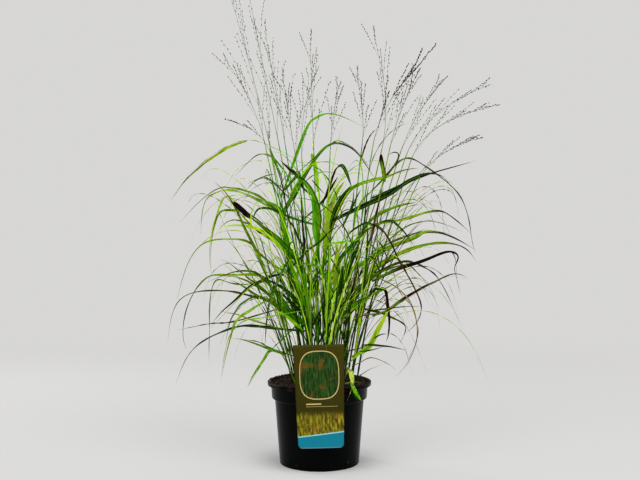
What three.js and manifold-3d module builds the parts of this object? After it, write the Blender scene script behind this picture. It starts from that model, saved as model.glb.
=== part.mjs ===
// Potted switchgrass: a clump of leafy, flowering culms in a black nursery pot, with a hanging label.
// Millimetres, +Z up. The origin lies on the ground under the middle of the pot, and -Y is the front.
import * as THREE from "three";
import Module from "manifold-3d";
import { mergeVertices } from "three/addons/utils/BufferGeometryUtils.js";

const wasm = await Module();
wasm.setup();

// ---------------------------------------------------------------- driving dimensions

const GAP = 0.4; // air between pieces that touch
const SEED = 20817;

// The pot: a 3-litre, 19 cm container
const POT_HEIGHT = 149;
const POT_SIDES = 28;
const POT_WALL = 1.6;
const POT_FLOOR = 3;
const BASE_RADIUS = 72.5;
const SHOULDER_RADIUS = 81.5; // body, just under the band
const SHOULDER_HEIGHT = 117;
const BAND_RADIUS = 88.5;
const BAND_TAPER = 1.5;
const LIP_RADIUS = 95;
const LIP_DROP = 7; // height of the rolled lip
const DRAIN_COUNT = 8;
const DRAIN_RADIUS = 5;
const DRAIN_CIRCLE = 52;
const DRAIN_SIDES = 8;
const GROOVE = { inner: 36, outer: 64, depth: 1.5 }; // ring under the pot through which the drains empty
const CHAMFER = 2;

// The compost
const SOIL_TOP = 140;
const SOIL_RINGS = [78, 58, 36, 15, 0]; // radii of its top's rings
const SOIL_EDGE = 3; // height of the compost's rounded edge
const LUMPS = [
  { height: 1.3, x: 0.21, y: 0.06, phase: 0.8 },
  { height: 0.8, x: -0.12, y: 0.24, phase: 0.3 },
  { height: 0.5, x: 0.31, y: -0.17, phase: 2.1 },
];

// The label: a printed card whose tongue hooks over the lip
const LABEL_TOP = 226;
const LABEL_BOTTOM = 47;
const LABEL_TOP_WIDTH = 89;
const LABEL_BOTTOM_WIDTH = 79;
const LABEL_THICKNESS = 0.9;
const LABEL_CORNER = 7;
const LABEL_TILT = THREE.MathUtils.degToRad(1.5);
const LABEL_SHIFT = -1.5; // of its top edge, to the left
const TONGUE_WIDTH = 14;
const TONGUE_REACH = 10.8; // from the card back to the leg behind the lip
const TONGUE_END = 121;

// The clump
const CULM_COUNT = 38;
const CLUMP_CENTRE = new THREE.Vector2(8, 4);
const CLUMP_RADIUS = 64;
const CLUMP_SPREAD = THREE.MathUtils.degToRad(21); // lean of the outermost culms
const CULM_BASE_RADIUS = 2.7;
const CULM_TOP_RADIUS = 1.5;
const FLOWERING_FIRST_LEAN = 0.6; // share of the whole lean that a flowering culm has from its base
const LEAFY_FIRST_LEAN = 0.8;
const FOOT_SHARE = { x: 0.38, y: 0.5 }; // where a flowering culm stands, as a share of where its neck is
const LEAFY_HEIGHT = [180, 330]; // of a culm without a panicle in the middle of the clump
const STRAY = 2.5; // of each standing place from an even spread
const NECK_TRIES = 60;
const FLOWERING_SHIFT = { x: 0.12, y: 1 }; // how far a neck is moved more at each try
const LEAFY_SHIFT = { x: 1, y: 1 };
const HEIGHT_FALL = 0.9; // how much shorter a leafy culm is for each millimetre out from the middle
const SPREAD_STRAY = [0.8, 1.15]; // least and most of a leafy culm's lean, as shares of the usual one
const HOLE_DEPTH = 26;
const FIRST_LEVEL = 160; // the culm's rings lie at this height and every KNOT_SPACING above it
const KNOT_SPACING = 50; // distance between the leaf knots of a culm
const BARE_NECK = 12; // length under the neck that bears no blade

// The blades
const KEEL = 1.1; // depth of the midrib under the flat face
const ROOT_SIZE = 0.8; // half width of a blade where it starts, inside the stem
const BLADE_WIDTH = [6, 10];
const FOOT_WIDTH = 0.6; // width of a blade's foot, as a share of its full width
const FILL_OUT = 1.4; // how fast the blade widens from there
const BLADE_LENGTH = [190, 340];
const BLADE_STEPS = 6;
const LONG_BLADE_STEPS = 8;
const BLADE_CEILING = 600; // height of the leaf mass over its middle, but for the listed blades
const CEILING_FALL = 0.3; // how fast that height falls away from the middle
const BLADES_AIMED_FOR = 182;
const BLADE_TRIES = 30;
const ARCH = {
  // as shares of a blade's length, for an upright blade and for a drooping one
  reach: [0.42, 0.8],
  rise: [0.72, 0.42],
  tip: [0.76, -0.29],
  // the shares of its reach and rise at which the blade turns out and then over
  shoulder: { reach: 0.12, rise: 0.6 },
  crown: { reach: 0.62, rise: 1.1 },
};
const MIDDLE_DROOP = 0.4; // most droop of a blade in the middle of the clump
const OUTER_NECK = 2.4 * CLUMP_RADIUS; // how far out the neck of a culm stands whose blades droop fully
const SHORTER = 0.75; // length of a blade where a whole one finds no room, as a share
const KNOT_STRAY = 6;
const HEADING = [0.1, 2.6]; // widest turn of an upright blade away from its culm's lean, in radians
const HEADING_DROOP = 1.2; // by how much less a drooping one turns
const LISTED_ROLL = [0.7, 1.1];
const LISTED_TWIST = 0.3;
const ROLL = 0.9;
const TWIST = 0.8;
const ROOT_RUN = 70; // usual distance from a listed blade's root to its first point
const ROOTS_TRIED = 14;
const BEND_COST = 200; // distance that is thought as bad as a turn by a right angle
const DEPTH_SHIFTS = [0, 12, -12, 24, -24];
const SPEAR = 22; // length of the point in which a culm without a panicle ends

// The panicles
const PANICLE_BRANCHES = 5;
const AXIS_STEPS = 5;
const AXIS_BEND = 0.45; // where an axis turns from its culm's line towards its tip
const AXIS_RADIUS = 1.2;
const AXIS_END_RADIUS = 0.6;
const TWIG_RADIUS = 0.45;
const SPIKELET_RADIUS = 1.2;
const SPIKELET_LENGTH = 4.4;
const MIDDLE_SPIKELET = 0.58; // place of a twig's first spikelet, as a share of its length
const TWIG_LENGTH = [0.62, 0.24]; // at the foot and at the tip of the axis, as shares of its length
const LONGEST_TWIG = 150;
const TWIG_SPREAD = 0.29; // how far a twig's end stands off the axis, as a share of its length
const TWIG_ONWARD = 0.93; // how far a twig's end lies along the axis, as a share of its length
const TWIG_BOW = 0.4; // how far its middle has come out by then, as a share of its spread
const TWIG_TURN = 0.5; // stray of its heading, in radians
const TWIG_TRIES = 12;
const FIRST_TWIG = 0.1;
const LAST_TWIG = 0.82;
const GOLDEN_ANGLE = Math.PI * (3 - Math.sqrt(5));

// The air that the plant may fill, and the size of the cells in which it is kept apart
const REACH = { left: -304, right: 332, front: -285, back: 285, low: 118, high: 874 };
const CELL = 2;
const SAMPLE = 1.2; // distance between the points tested on a skin
const CLEAR_OF_POT = 5;
const CLEAR_OF_LABEL = 8;

// Flowering culms: where the panicle begins (neck) and where it ends (tip)
const FLOWERING = [
  // left of the middle, the outermost first
  { neck: [-104, 62, 590], tip: [-183, 110, 757] },
  { neck: [-89, 30, 566], tip: [-166, 4, 863] },
  { neck: [-92, 92, 562], tip: [-170, 150, 644] },
  { neck: [-72, -10, 571], tip: [-130, -20, 861] },
  { neck: [-40, -78, 540], tip: [-60, -160, 668] },
  { neck: [-63, 50, 576], tip: [-104, 70, 804] },
  // right of the middle, the outermost first
  { neck: [190, 72, 520], tip: [314, 104, 606] },
  { neck: [164, -34, 548], tip: [298, -64, 641] },
  { neck: [160, 20, 560], tip: [323, 30, 699] },
  { neck: [154, 60, 572], tip: [238, 90, 714] },
  { neck: [124, -58, 566], tip: [168, -104, 693] },
  { neck: [98, 0, 578], tip: [192, -20, 737] },
  { neck: [116, 40, 571], tip: [104, 60, 794] },
  { neck: [76, -50, 576], tip: [66, -86, 690] },
  // the middle and the back
  { neck: [-34, 98, 560], tip: [-12, 172, 741] },
  { neck: [21, 84, 582], tip: [39, 138, 717] },
  { neck: [-10, 4, 572], tip: [-17, 0, 767] },
];

// Blades that give the plant its outline, each by its width, its depth at both ends and the
// points that its middle line passes in front view, from where it comes clear of the clump
const OUTLINE_BLADES = [
  // upper left
  { w: 9, y: [-20, -60], xz: [[-88, 576], [-129, 586], [-176, 567], [-229, 523], [-263, 474]] },
  { w: 5, y: [10, 40], xz: [[-90, 562], [-115, 566], [-161, 526]] },
  { w: 5, y: [20, 60], xz: [[-98, 522], [-119, 520], [-140, 502]] },
  { w: 9, y: [10, 60], xz: [[-69, 455], [-114, 489], [-169, 506], [-204, 499], [-266, 441]] },
  { w: 7, y: [-30, -80], xz: [[-111, 479], [-162, 496], [-200, 478], [-207, 419]] },
  { w: 5, y: [30, 90], xz: [[-107, 418], [-132, 437], [-203, 516]] },
  { w: 7, y: [-30, -90], xz: [[-129, 439], [-165, 486], [-181, 453], [-192, 398], [-186, 338]] },
  // upper middle
  { w: 9, y: [-10, -50], xz: [[-68, 484], [-15, 547], [25, 581], [44, 580], [73, 556], [95, 521]] },
  { w: 6, y: [10, 40], xz: [[-49, 546], [-19, 623], [3, 640], [29, 643], [84, 620]] },
  { w: 8, y: [-10, -40], xz: [[3, 453], [-1, 501], [-15, 568]] },
  { w: 12, y: [-40, -70], xz: [[5, 416], [17, 453], [50, 509]] },
  { w: 6, y: [-20, -50], xz: [[-61, 480], [-67, 511], [-81, 548]] },
  { w: 5, y: [30, 60], xz: [[-33, 508], [-46, 536], [-73, 558]] },
  { w: 5, y: [40, 70], xz: [[7, 482], [22, 517], [36, 551]] },
  // upper right
  { w: 6, y: [30, 60], xz: [[110, 473], [122, 524], [119, 571]] },
  { w: 6, y: [10, 50], xz: [[129, 531], [159, 561], [208, 540], [272, 482], [288, 416], [297, 382]] },
  { w: 10, y: [-20, -60], xz: [[85, 471], [126, 490], [164, 515], [199, 525], [220, 517]] },
  { w: 8, y: [-50, -90], xz: [[58, 500], [82, 511], [106, 517], [166, 530]] },
  { w: 5, y: [40, 70], xz: [[152, 509], [200, 530], [302, 560]] },
  { w: 8, y: [-60, -100], xz: [[93, 444], [136, 466], [168, 472]] },
  { w: 6, y: [40, 100], xz: [[154, 445], [191, 456], [231, 463], [264, 446], [298, 417]] },
  { w: 6, y: [60, 100], xz: [[163, 413], [212, 424], [259, 419]] },
  // lower left
  { w: 8, y: [-10, -60], xz: [[-105, 378], [-126, 402], [-160, 409], [-218, 394], [-252, 301]] },
  { w: 8, y: [20, 60], xz: [[-84, 310], [-105, 338], [-174, 341], [-223, 330], [-259, 245], [-254, 199]] },
  { w: 7, y: [50, 110], xz: [[-96, 293], [-136, 300], [-189, 309], [-275, 291], [-300, 207]] },
  { w: 5, y: [-60, -110], xz: [[-91, 343], [-120, 325], [-187, 255]] },
  { w: 6, y: [-80, -120], xz: [[-139, 330], [-179, 336], [-187, 256], [-186, 196]] },
  { w: 8, y: [30, 70], xz: [[-83, 244], [-112, 247], [-150, 246], [-198, 228], [-241, 199], [-271, 136]] },
  { w: 11, y: [-90, -130], xz: [[-100, 272], [-133, 266], [-155, 239], [-166, 169]] },
  { w: 9, y: [-60, -90], xz: [[-64, 234], [-85, 214], [-124, 152]] },
  { w: 5, y: [60, 110], xz: [[-94, 201], [-119, 210], [-174, 214]] },
  { w: 5, y: [100, 150], xz: [[-171, 247], [-219, 241], [-284, 226]] },
  // lower right
  { w: 8, y: [-20, -50], xz: [[85, 367], [110, 385], [174, 412], [198, 423], [242, 412], [282, 389]] },
  { w: 8, y: [30, 80], xz: [[102, 351], [129, 369], [162, 386], [222, 401], [276, 394], [302, 365]] },
  { w: 7, y: [-60, -90], xz: [[113, 352], [170, 365], [215, 384], [235, 384], [238, 350], [244, 312]] },
  { w: 6, y: [60, 120], xz: [[158, 365], [194, 359], [234, 331], [278, 245]] },
  { w: 6, y: [-80, -120], xz: [[85, 271], [152, 308], [212, 344], [251, 342]] },
  { w: 6, y: [-90, -130], xz: [[116, 369], [134, 376], [154, 342], [174, 290], [164, 264], [138, 245]] },
  { w: 7, y: [-100, -110], xz: [[91, 317], [104, 326], [121, 263], [116, 236]] },
  { w: 5, y: [70, 110], xz: [[112, 269], [138, 258], [168, 238], [158, 203]] },
  { w: 6, y: [90, 140], xz: [[153, 310], [179, 276], [192, 218], [153, 135]] },
  { w: 5, y: [90, 140], xz: [[79, 197], [103, 201], [173, 187]] },
  { w: 13, y: [-70, -90], xz: [[92, 228], [99, 249], [112, 275]] },
];

// ---------------------------------------------------------------- colours

const finish = (color, roughness) => new THREE.MeshStandardMaterial({ color, roughness, metalness: 0 });
const POT_PLASTIC = finish(0x16181b, 0.42);
const COMPOST = finish(0x2f2019, 0.95);
const LABEL_CARD = finish(0x4c4a1c, 0.35);
const LEAF = finish(0x4f8a2b, 0.55);
const FLOWER = finish(0x5a4a52, 0.8);

// ---------------------------------------------------------------- solids

const UP = new THREE.Vector3(0, 0, 1);
const WELD = 1e-4;

/** A geometry's triangles with shared corners merged and none of them collapsed. */
function welded(geometry) {
  geometry.deleteAttribute("normal");
  geometry.deleteAttribute("uv");
  const merged = mergeVertices(geometry, WELD);
  const corners = merged.index.array;
  const kept = [];
  for (let i = 0; i < corners.length; i += 3) {
    const [a, b, c] = corners.slice(i, i + 3);
    if (a !== b && b !== c && c !== a) kept.push(a, b, c);
  }
  merged.setIndex(kept);
  return merged;
}

/** The closed solid that a geometry bounds, turned to face out. */
function solidOf(geometry) {
  const skinned = welded(geometry);
  const vertProperties = new Float32Array(skinned.attributes.position.array);
  const triVerts = new Uint32Array(skinned.index.array);
  const solid = new wasm.Manifold(new wasm.Mesh({ numProp: 3, vertProperties, triVerts }));
  if (solid.volume() > 0) return solid;
  triVerts.reverse();
  return new wasm.Manifold(new wasm.Mesh({ numProp: 3, vertProperties, triVerts }));
}

/** A named piece of the plant or pot, from its solid. */
function piece(name, solid, material) {
  const { vertProperties, triVerts } = solid.getMesh();
  const geometry = new THREE.BufferGeometry();
  geometry.setAttribute("position", new THREE.BufferAttribute(vertProperties, 3));
  geometry.setIndex(new THREE.BufferAttribute(triVerts, 1));
  geometry.computeVertexNormals();
  const mesh = new THREE.Mesh(geometry, material);
  mesh.name = name;
  return mesh;
}

/** A closed skin over rings of equally many corners. The last ring may be a single point.
 *  The closing face of each step is split like its neighbours seen from the other side, so that
 *  a thin, twisted blade has its two faces split alike. */
function skin(rings) {
  const corners = rings.flat();
  const sides = rings[0].length;
  const index = [];
  let low = 0;
  rings.slice(1).forEach((ring) => {
    const high = low + sides;
    for (let side = 0; side < sides; side += 1) {
      const next = (side + 1) % sides;
      const [a, b, c, d] = [low + side, low + next, high + next, high + side];
      if (ring.length === 1) index.push(a, b, high);
      else if (next === 0) index.push(a, b, d, b, c, d);
      else index.push(a, b, c, a, c, d);
    }
    low = high;
  });
  for (let side = 1; side < sides - 1; side += 1) {
    index.push(0, side + 1, side);
    if (rings.at(-1).length > 1) index.push(low, low + side, low + side + 1);
  }
  const geometry = new THREE.BufferGeometry().setFromPoints(corners);
  geometry.setIndex(index);
  return geometry;
}

// ---------------------------------------------------------------- chance

/** Evenly spread numbers from 0 to 1, the same on every run. */
function seeded(seed) {
  let state = seed;
  return () => {
    state = (state + 0x6d2b79f5) | 0;
    let t = Math.imul(state ^ (state >>> 15), 1 | state);
    t = (t + Math.imul(t ^ (t >>> 7), 61 | t)) ^ t;
    return ((t ^ (t >>> 14)) >>> 0) / 4294967296;
  };
}
const chance = seeded(SEED);
const between = (low, high) => low + (high - low) * chance();

// ---------------------------------------------------------------- the pot

/** The pot's wall in section, from the middle of the underside round the lip to the inner floor. */
function potSection() {
  const bandFoot = BAND_RADIUS - BAND_TAPER;
  return [
    [0, 0],
    [GROOVE.inner, 0],
    [GROOVE.inner + GROOVE.depth, GROOVE.depth],
    [GROOVE.outer - GROOVE.depth, GROOVE.depth],
    [GROOVE.outer, 0],
    [BASE_RADIUS - CHAMFER, 0],
    [BASE_RADIUS, CHAMFER],
    [SHOULDER_RADIUS, SHOULDER_HEIGHT],
    [bandFoot, SHOULDER_HEIGHT + CHAMFER],
    [BAND_RADIUS, POT_HEIGHT - LIP_DROP],
    [LIP_RADIUS - CHAMFER / 4, POT_HEIGHT - LIP_DROP],
    [LIP_RADIUS, POT_HEIGHT - CHAMFER],
    [LIP_RADIUS - CHAMFER, POT_HEIGHT],
    [BAND_RADIUS - CHAMFER / 4, POT_HEIGHT],
    [BAND_RADIUS - POT_WALL, POT_HEIGHT - LIP_DROP - 1],
    [bandFoot - POT_WALL, SHOULDER_HEIGHT + CHAMFER + POT_WALL],
    [SHOULDER_RADIUS - POT_WALL, SHOULDER_HEIGHT + POT_WALL],
    [BASE_RADIUS - POT_WALL, POT_FLOOR + CHAMFER],
    [BASE_RADIUS - POT_WALL - CHAMFER, POT_FLOOR],
    [0, POT_FLOOR],
  ].map(([radius, height]) => new THREE.Vector2(radius, height));
}

/** A turned solid whose axis stands upright. */
function turned(section) {
  return new THREE.LatheGeometry(section, POT_SIDES).rotateX(Math.PI / 2);
}

function pot() {
  const drains = Array.from({ length: DRAIN_COUNT }, (_, i) => {
    const angle = ((i + 0.5) / DRAIN_COUNT) * 2 * Math.PI;
    const drain = new THREE.CylinderGeometry(DRAIN_RADIUS, DRAIN_RADIUS, 4 * POT_FLOOR, DRAIN_SIDES);
    drain.rotateX(Math.PI / 2);
    drain.translate(DRAIN_CIRCLE * Math.cos(angle), DRAIN_CIRCLE * Math.sin(angle), 0);
    return solidOf(drain);
  });
  return drains.reduce((body, drain) => body.subtract(drain), solidOf(turned(potSection())));
}

// ---------------------------------------------------------------- the compost

/** Low lumps on the compost, as crossed waves. */
function soilHeight(across, back) {
  const lumps = LUMPS.map(({ height, x, y, phase }) => height * Math.sin(x * across + y * back + phase));
  return lumps.reduce((sum, lump) => sum + lump, SOIL_TOP);
}

/** The filling's section, inside the pot's wall all the way up and flat on top. */
function soilSection() {
  const wall = POT_WALL + GAP;
  const side = [
    [0, POT_FLOOR + GAP],
    [BASE_RADIUS - wall - 1.5 * CHAMFER, POT_FLOOR + GAP],
    [BASE_RADIUS - wall, POT_FLOOR + 1.5 * CHAMFER],
    [SHOULDER_RADIUS - wall, SHOULDER_HEIGHT + POT_WALL],
    [BAND_RADIUS - BAND_TAPER - wall, SHOULDER_HEIGHT + CHAMFER + POT_WALL + GAP],
    [BAND_RADIUS - wall - GAP, SOIL_TOP - SOIL_EDGE],
  ];
  const top = SOIL_RINGS.map((radius) => [radius, SOIL_TOP]);
  return [...side, ...top].map(([radius, height]) => new THREE.Vector2(radius, height));
}

/** The compost, with lumps on its top, a hole for each culm and a slot for the label's tongue. */
function soil(culms) {
  const heap = turned(soilSection());
  const at = heap.attributes.position;
  for (let i = 0; i < at.count; i += 1) {
    if (at.getZ(i) > SOIL_TOP - 1) at.setZ(i, soilHeight(at.getX(i), at.getY(i)));
  }
  const slot = new THREE.BoxGeometry(TONGUE_WIDTH + 4 * GAP, TONGUE_REACH, SOIL_TOP - TONGUE_END + 4 * GAP);
  slot.translate(0, tongueLegBack() + GAP - TONGUE_REACH / 2, (SOIL_TOP + TONGUE_END) / 2 + GAP);
  const open = solidOf(heap).subtract(solidOf(slot));
  return culms.reduce((body, culm) => body.subtract(solidOf(skin(culm.holeRings()))), open);
}

// ---------------------------------------------------------------- the label

/** The back face of the tongue's leg, behind the lip. */
function tongueLegBack() {
  return -LIP_RADIUS - GAP + TONGUE_REACH + LABEL_THICKNESS;
}

/** A tapered card, square at the top and round at its lower corners. */
function cardOutline() {
  const [top, bottom] = [LABEL_TOP_WIDTH / 2, LABEL_BOTTOM_WIDTH / 2];
  const height = LABEL_TOP - LABEL_BOTTOM;
  const outline = new THREE.Shape();
  outline.moveTo(-top, height);
  outline.lineTo(-bottom, LABEL_CORNER);
  outline.quadraticCurveTo(-bottom, 0, -bottom + LABEL_CORNER, 0);
  outline.lineTo(bottom - LABEL_CORNER, 0);
  outline.quadraticCurveTo(bottom, 0, bottom, LABEL_CORNER);
  outline.lineTo(top, height);
  outline.closePath();
  return outline;
}

/** The tongue from the side: back from the card over the lip, then down into the compost. */
function tongueProfile() {
  const card = -LIP_RADIUS - GAP - LABEL_THICKNESS / 2;
  const back = tongueLegBack();
  const front = back - LABEL_THICKNESS;
  const bridge = POT_HEIGHT + GAP;
  const profile = new THREE.Shape();
  profile.moveTo(card, bridge);
  profile.lineTo(front, bridge);
  profile.lineTo(front, TONGUE_END);
  profile.lineTo(back, TONGUE_END);
  profile.lineTo(back, bridge + LABEL_THICKNESS);
  profile.lineTo(card, bridge + LABEL_THICKNESS);
  profile.closePath();
  return profile;
}

function label() {
  const card = new THREE.ExtrudeGeometry(cardOutline(), {
    depth: LABEL_THICKNESS,
    bevelEnabled: false,
    curveSegments: 4,
  });
  card.rotateX(Math.PI / 2);
  card.translate(0, -LIP_RADIUS - GAP, LABEL_BOTTOM - LABEL_TOP);
  card.rotateY(-LABEL_TILT);
  card.translate(LABEL_SHIFT, 0, LABEL_TOP);
  const tongue = new THREE.ExtrudeGeometry(tongueProfile(), { depth: TONGUE_WIDTH, bevelEnabled: false });
  tongue.translate(0, 0, -TONGUE_WIDTH / 2);
  const sideways = new THREE.Matrix4().makeBasis(
    new THREE.Vector3(0, 1, 0),
    new THREE.Vector3(0, 0, 1),
    new THREE.Vector3(1, 0, 0),
  );
  tongue.applyMatrix4(sideways);
  return solidOf(card).add(solidOf(tongue));
}

// ---------------------------------------------------------------- room for each piece

/** The air round the plant, in cells that each remember the strand that runs through them. */
class Air {
  constructor() {
    this.wide = Math.ceil((REACH.right - REACH.left) / CELL);
    this.deep = Math.ceil((REACH.back - REACH.front) / CELL);
    this.tall = Math.ceil(REACH.high / CELL);
    this.owner = new Uint16Array(this.wide * this.deep * this.tall);
  }

  cell(x, y, z) {
    const i = Math.floor((x - REACH.left) / CELL);
    const j = Math.floor((y - REACH.front) / CELL);
    return { i, j, k: Math.floor(z / CELL) };
  }

  /** True where a strand would leave the plant's reach or meet the pot or the label. */
  barred(x, y, z) {
    if (x < REACH.left || x > REACH.right || y < REACH.front || y > REACH.back) return true;
    if (z < REACH.low || z > REACH.high) return true;
    if (Math.hypot(x, y) < LIP_RADIUS + CLEAR_OF_POT && z < POT_HEIGHT + CLEAR_OF_POT) return true;
    if (Math.abs(x) > LABEL_TOP_WIDTH / 2 + CLEAR_OF_LABEL || z > LABEL_TOP + CLEAR_OF_POT) return false;
    return Math.abs(y + LIP_RADIUS) < CLEAR_OF_LABEL;
  }

  /** True where every point lies in cells that are empty or belong to the strand's own culm. */
  free(points, culm) {
    return points.every(([x, y, z]) => {
      if (this.barred(x, y, z)) return false;
      const { i, j, k } = this.cell(x, y, z);
      const owner = this.owner[(k * this.deep + j) * this.wide + i];
      return owner === 0 || owner === culm;
    });
  }

  /** Gives the cells round each point to a strand. */
  take(points, strand) {
    points.forEach(([x, y, z]) => {
      const { i, j, k } = this.cell(x, y, z);
      for (let c = Math.max(k - 1, 0); c <= Math.min(k + 1, this.tall - 1); c += 1) {
        for (let b = Math.max(j - 1, 0); b <= Math.min(j + 1, this.deep - 1); b += 1) {
          const row = (c * this.deep + b) * this.wide;
          this.owner.fill(strand, row + Math.max(i - 1, 0), row + Math.min(i + 2, this.wide));
        }
      }
    });
  }
}

/** Points all over a strand's skin, SAMPLE apart or closer. */
function skinPoints(rings) {
  const points = [];
  const spot = (ring, side) => ring[side % ring.length];
  for (let level = 1; level < rings.length; level += 1) {
    const [low, high] = [rings[level - 1], rings[level]];
    const along = Math.ceil(spot(low, 0).distanceTo(spot(high, 0)) / SAMPLE) + 1;
    for (let side = 0; side < low.length; side += 1) {
      const [a, b, c, d] = [low[side], spot(low, side + 1), spot(high, side + 1), spot(high, side)];
      const across = Math.ceil(Math.max(a.distanceTo(b), d.distanceTo(c)) / SAMPLE);
      for (let step = 0; step <= along; step += 1) {
        for (let shift = 0; shift < across; shift += 1) {
          const [u, v] = [step / along, shift / across];
          const mix = (p, q, r, s) => (1 - u) * ((1 - v) * p + v * q) + u * ((1 - v) * s + v * r);
          points.push([mix(a.x, b.x, c.x, d.x), mix(a.y, b.y, c.y, d.y), mix(a.z, b.z, c.z, d.z)]);
        }
      }
    }
  }
  return points;
}

const air = new Air();
let strandCount = CULM_COUNT; // culms have the numbers up to CULM_COUNT, other strands the next ones

const anywhere = () => true;
const underCeiling = ({ x, y, z }) => z < BLADE_CEILING - CEILING_FALL * Math.hypot(x, y);

/** Takes the room of the first of several ways to lay a strand that meets no other, if there is one. */
function layFirstFree(ways, culm, allowed = anywhere) {
  for (const way of ways) {
    const rings = way();
    const points = skinPoints(rings);
    if (rings.flat().every(allowed) && air.free(points, culm)) {
      strandCount += 1;
      air.take(points, strandCount);
      return rings;
    }
  }
  return null;
}

// ---------------------------------------------------------------- culms

/** A level square ring round a point. */
function levelRing(centre, radius, sides = 4) {
  return Array.from({ length: sides }, (_, side) => {
    const angle = (side / sides) * 2 * Math.PI;
    return new THREE.Vector3(radius * Math.cos(angle), radius * Math.sin(angle), 0).add(centre);
  });
}

/** One tiller: a stem that leans from its base and bows further out up to its neck. */
class Culm {
  constructor(base, neck, firstLean) {
    this.base = base;
    this.neck = neck;
    this.firstLean = firstLean;
    this.strands = []; // the rings of each of its blades
    this.tip = null; // the end of its panicle, if it flowers
  }

  /** The middle of the stem at a height: a straight lean plus a bow that grows with the square. */
  at(z) {
    const share = (z - SOIL_TOP) / (this.neck.z - SOIL_TOP);
    const bow = this.firstLean * share + (1 - this.firstLean) * Math.max(share, 0) ** 2;
    return new THREE.Vector3().lerpVectors(this.base, this.neck, bow).setZ(z);
  }

  direction(z) {
    return this.at(z + 1).sub(this.at(z)).normalize();
  }

  radius(z) {
    const share = (z - SOIL_TOP) / (this.neck.z - SOIL_TOP);
    return THREE.MathUtils.lerp(CULM_BASE_RADIUS, CULM_TOP_RADIUS, Math.max(share, 0));
  }

  levels() {
    const levels = [SOIL_TOP - HOLE_DEPTH];
    for (let z = FIRST_LEVEL; z < this.neck.z - KNOT_SPACING / 3; z += KNOT_SPACING) levels.push(z);
    return [...levels, this.neck.z];
  }

  /** Heights half way between the rings, where blades leave the stem. */
  knots() {
    const knots = this.levels().slice(1, -1).map((z) => z + KNOT_SPACING / 2);
    return knots.filter((z) => z < this.neck.z - BARE_NECK);
  }

  /** The stem: level rings, and a point above them on a culm that bears no panicle. */
  rings() {
    const rings = this.levels().map((z) => levelRing(this.at(z), this.radius(z)));
    return this.tip ? rings : [...rings, [this.at(this.neck.z + SPEAR)]];
  }

  holeRings() {
    const [floor, mouth] = this.levels();
    const room = 1.5 * GAP;
    return [
      levelRing(this.at(floor - GAP), this.radius(floor - GAP) + room),
      levelRing(this.at(mouth), this.radius(mouth) + room),
    ];
  }

  clearPoints() {
    return skinPoints(this.rings()).filter(([, , z]) => z > POT_HEIGHT + CLEAR_OF_POT);
  }

  solid() {
    const stem = solidOf(skin(this.rings()));
    return this.strands.reduce((body, rings) => body.add(solidOf(skin(rings))), stem);
  }
}

/** Standing places spread evenly over a round clump, as seeds are in a flower head. */
function standingPlaces() {
  return Array.from({ length: CULM_COUNT }, (_, i) => {
    const radius = CLUMP_RADIUS * Math.sqrt((i + 0.5) / CULM_COUNT);
    const away = new THREE.Vector2(radius, 0).rotateAround(new THREE.Vector2(), i * GOLDEN_ANGLE);
    return away.add(new THREE.Vector2(between(-STRAY, STRAY), between(-STRAY, STRAY)));
  });
}

/** Tries a culm with its neck moved a little each time, until it meets no other. */
function placeCulm(number, away, neck, firstLean, stray) {
  const base = new THREE.Vector3(away.x + CLUMP_CENTRE.x, away.y + CLUMP_CENTRE.y, SOIL_TOP);
  for (let round = 0; round < NECK_TRIES; round += 1) {
    const shift = new THREE.Vector3(between(-1, 1) * stray.x, between(-1, 1) * stray.y, 0);
    const moved = neck.clone().addScaledVector(shift, round);
    const culm = new Culm(base, moved, firstLean);
    const points = culm.clearPoints();
    if (air.free(points, number)) {
      air.take(points, number);
      return culm;
    }
  }
  return null;
}

/** The clump: a flowering culm for each panicle from the place that suits it, and leafy culms between. */
function growCulms() {
  const places = standingPlaces();
  const culms = [];
  FLOWERING.forEach(({ neck, tip }) => {
    const foot = new THREE.Vector2(neck[0] * FOOT_SHARE.x, neck[1] * FOOT_SHARE.y);
    places.sort((a, b) => a.distanceTo(foot) - b.distanceTo(foot));
    const place = places.shift();
    const aim = new THREE.Vector3(...neck);
    const culm = placeCulm(culms.length + 1, place, aim, FLOWERING_FIRST_LEAN, FLOWERING_SHIFT);
    if (culm) {
      culm.tip = new THREE.Vector3(...tip).add(new THREE.Vector3(0, culm.neck.y - neck[1], 0));
      culms.push(culm);
    }
  });
  places.forEach((away) => {
    const height = between(...LEAFY_HEIGHT) - HEIGHT_FALL * away.length();
    const lean = (away.length() / CLUMP_RADIUS) * Math.tan(CLUMP_SPREAD) * between(...SPREAD_STRAY);
    const out = away.clone().setLength(away.length() + lean * height);
    const neck = new THREE.Vector3(out.x + CLUMP_CENTRE.x, out.y + CLUMP_CENTRE.y, SOIL_TOP + height);
    const culm = placeCulm(culms.length + 1, away, neck, LEAFY_FIRST_LEAN, LEAFY_SHIFT);
    if (culm) culms.push(culm);
  });
  return culms;
}

// ---------------------------------------------------------------- blades

/** The rings of a strand along a curve. Its section is listed as corners [across, under] for each share
 *  of the curve's own parameter, and turns by twist about the curve from a start that lies flat. */
function strandRings(curve, shares, section, roll, twist) {
  const run = curve.getPoint(1).sub(curve.getPoint(0));
  const out = new THREE.Vector3(run.x, run.y, 0).normalize();
  const flat = out.cross(UP);
  return shares.map((share) => {
    const centre = curve.getPoint(share);
    const along = curve.getTangent(share);
    const across = flat.clone().addScaledVector(along, -flat.dot(along)).normalize();
    across.applyAxisAngle(along, roll + twist * share);
    const under = along.clone().cross(across);
    const corners = section(share);
    if (corners === null) return [centre];
    return corners.map(([u, v]) => centre.clone().addScaledVector(across, u).addScaledVector(under, v));
  });
}

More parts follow.
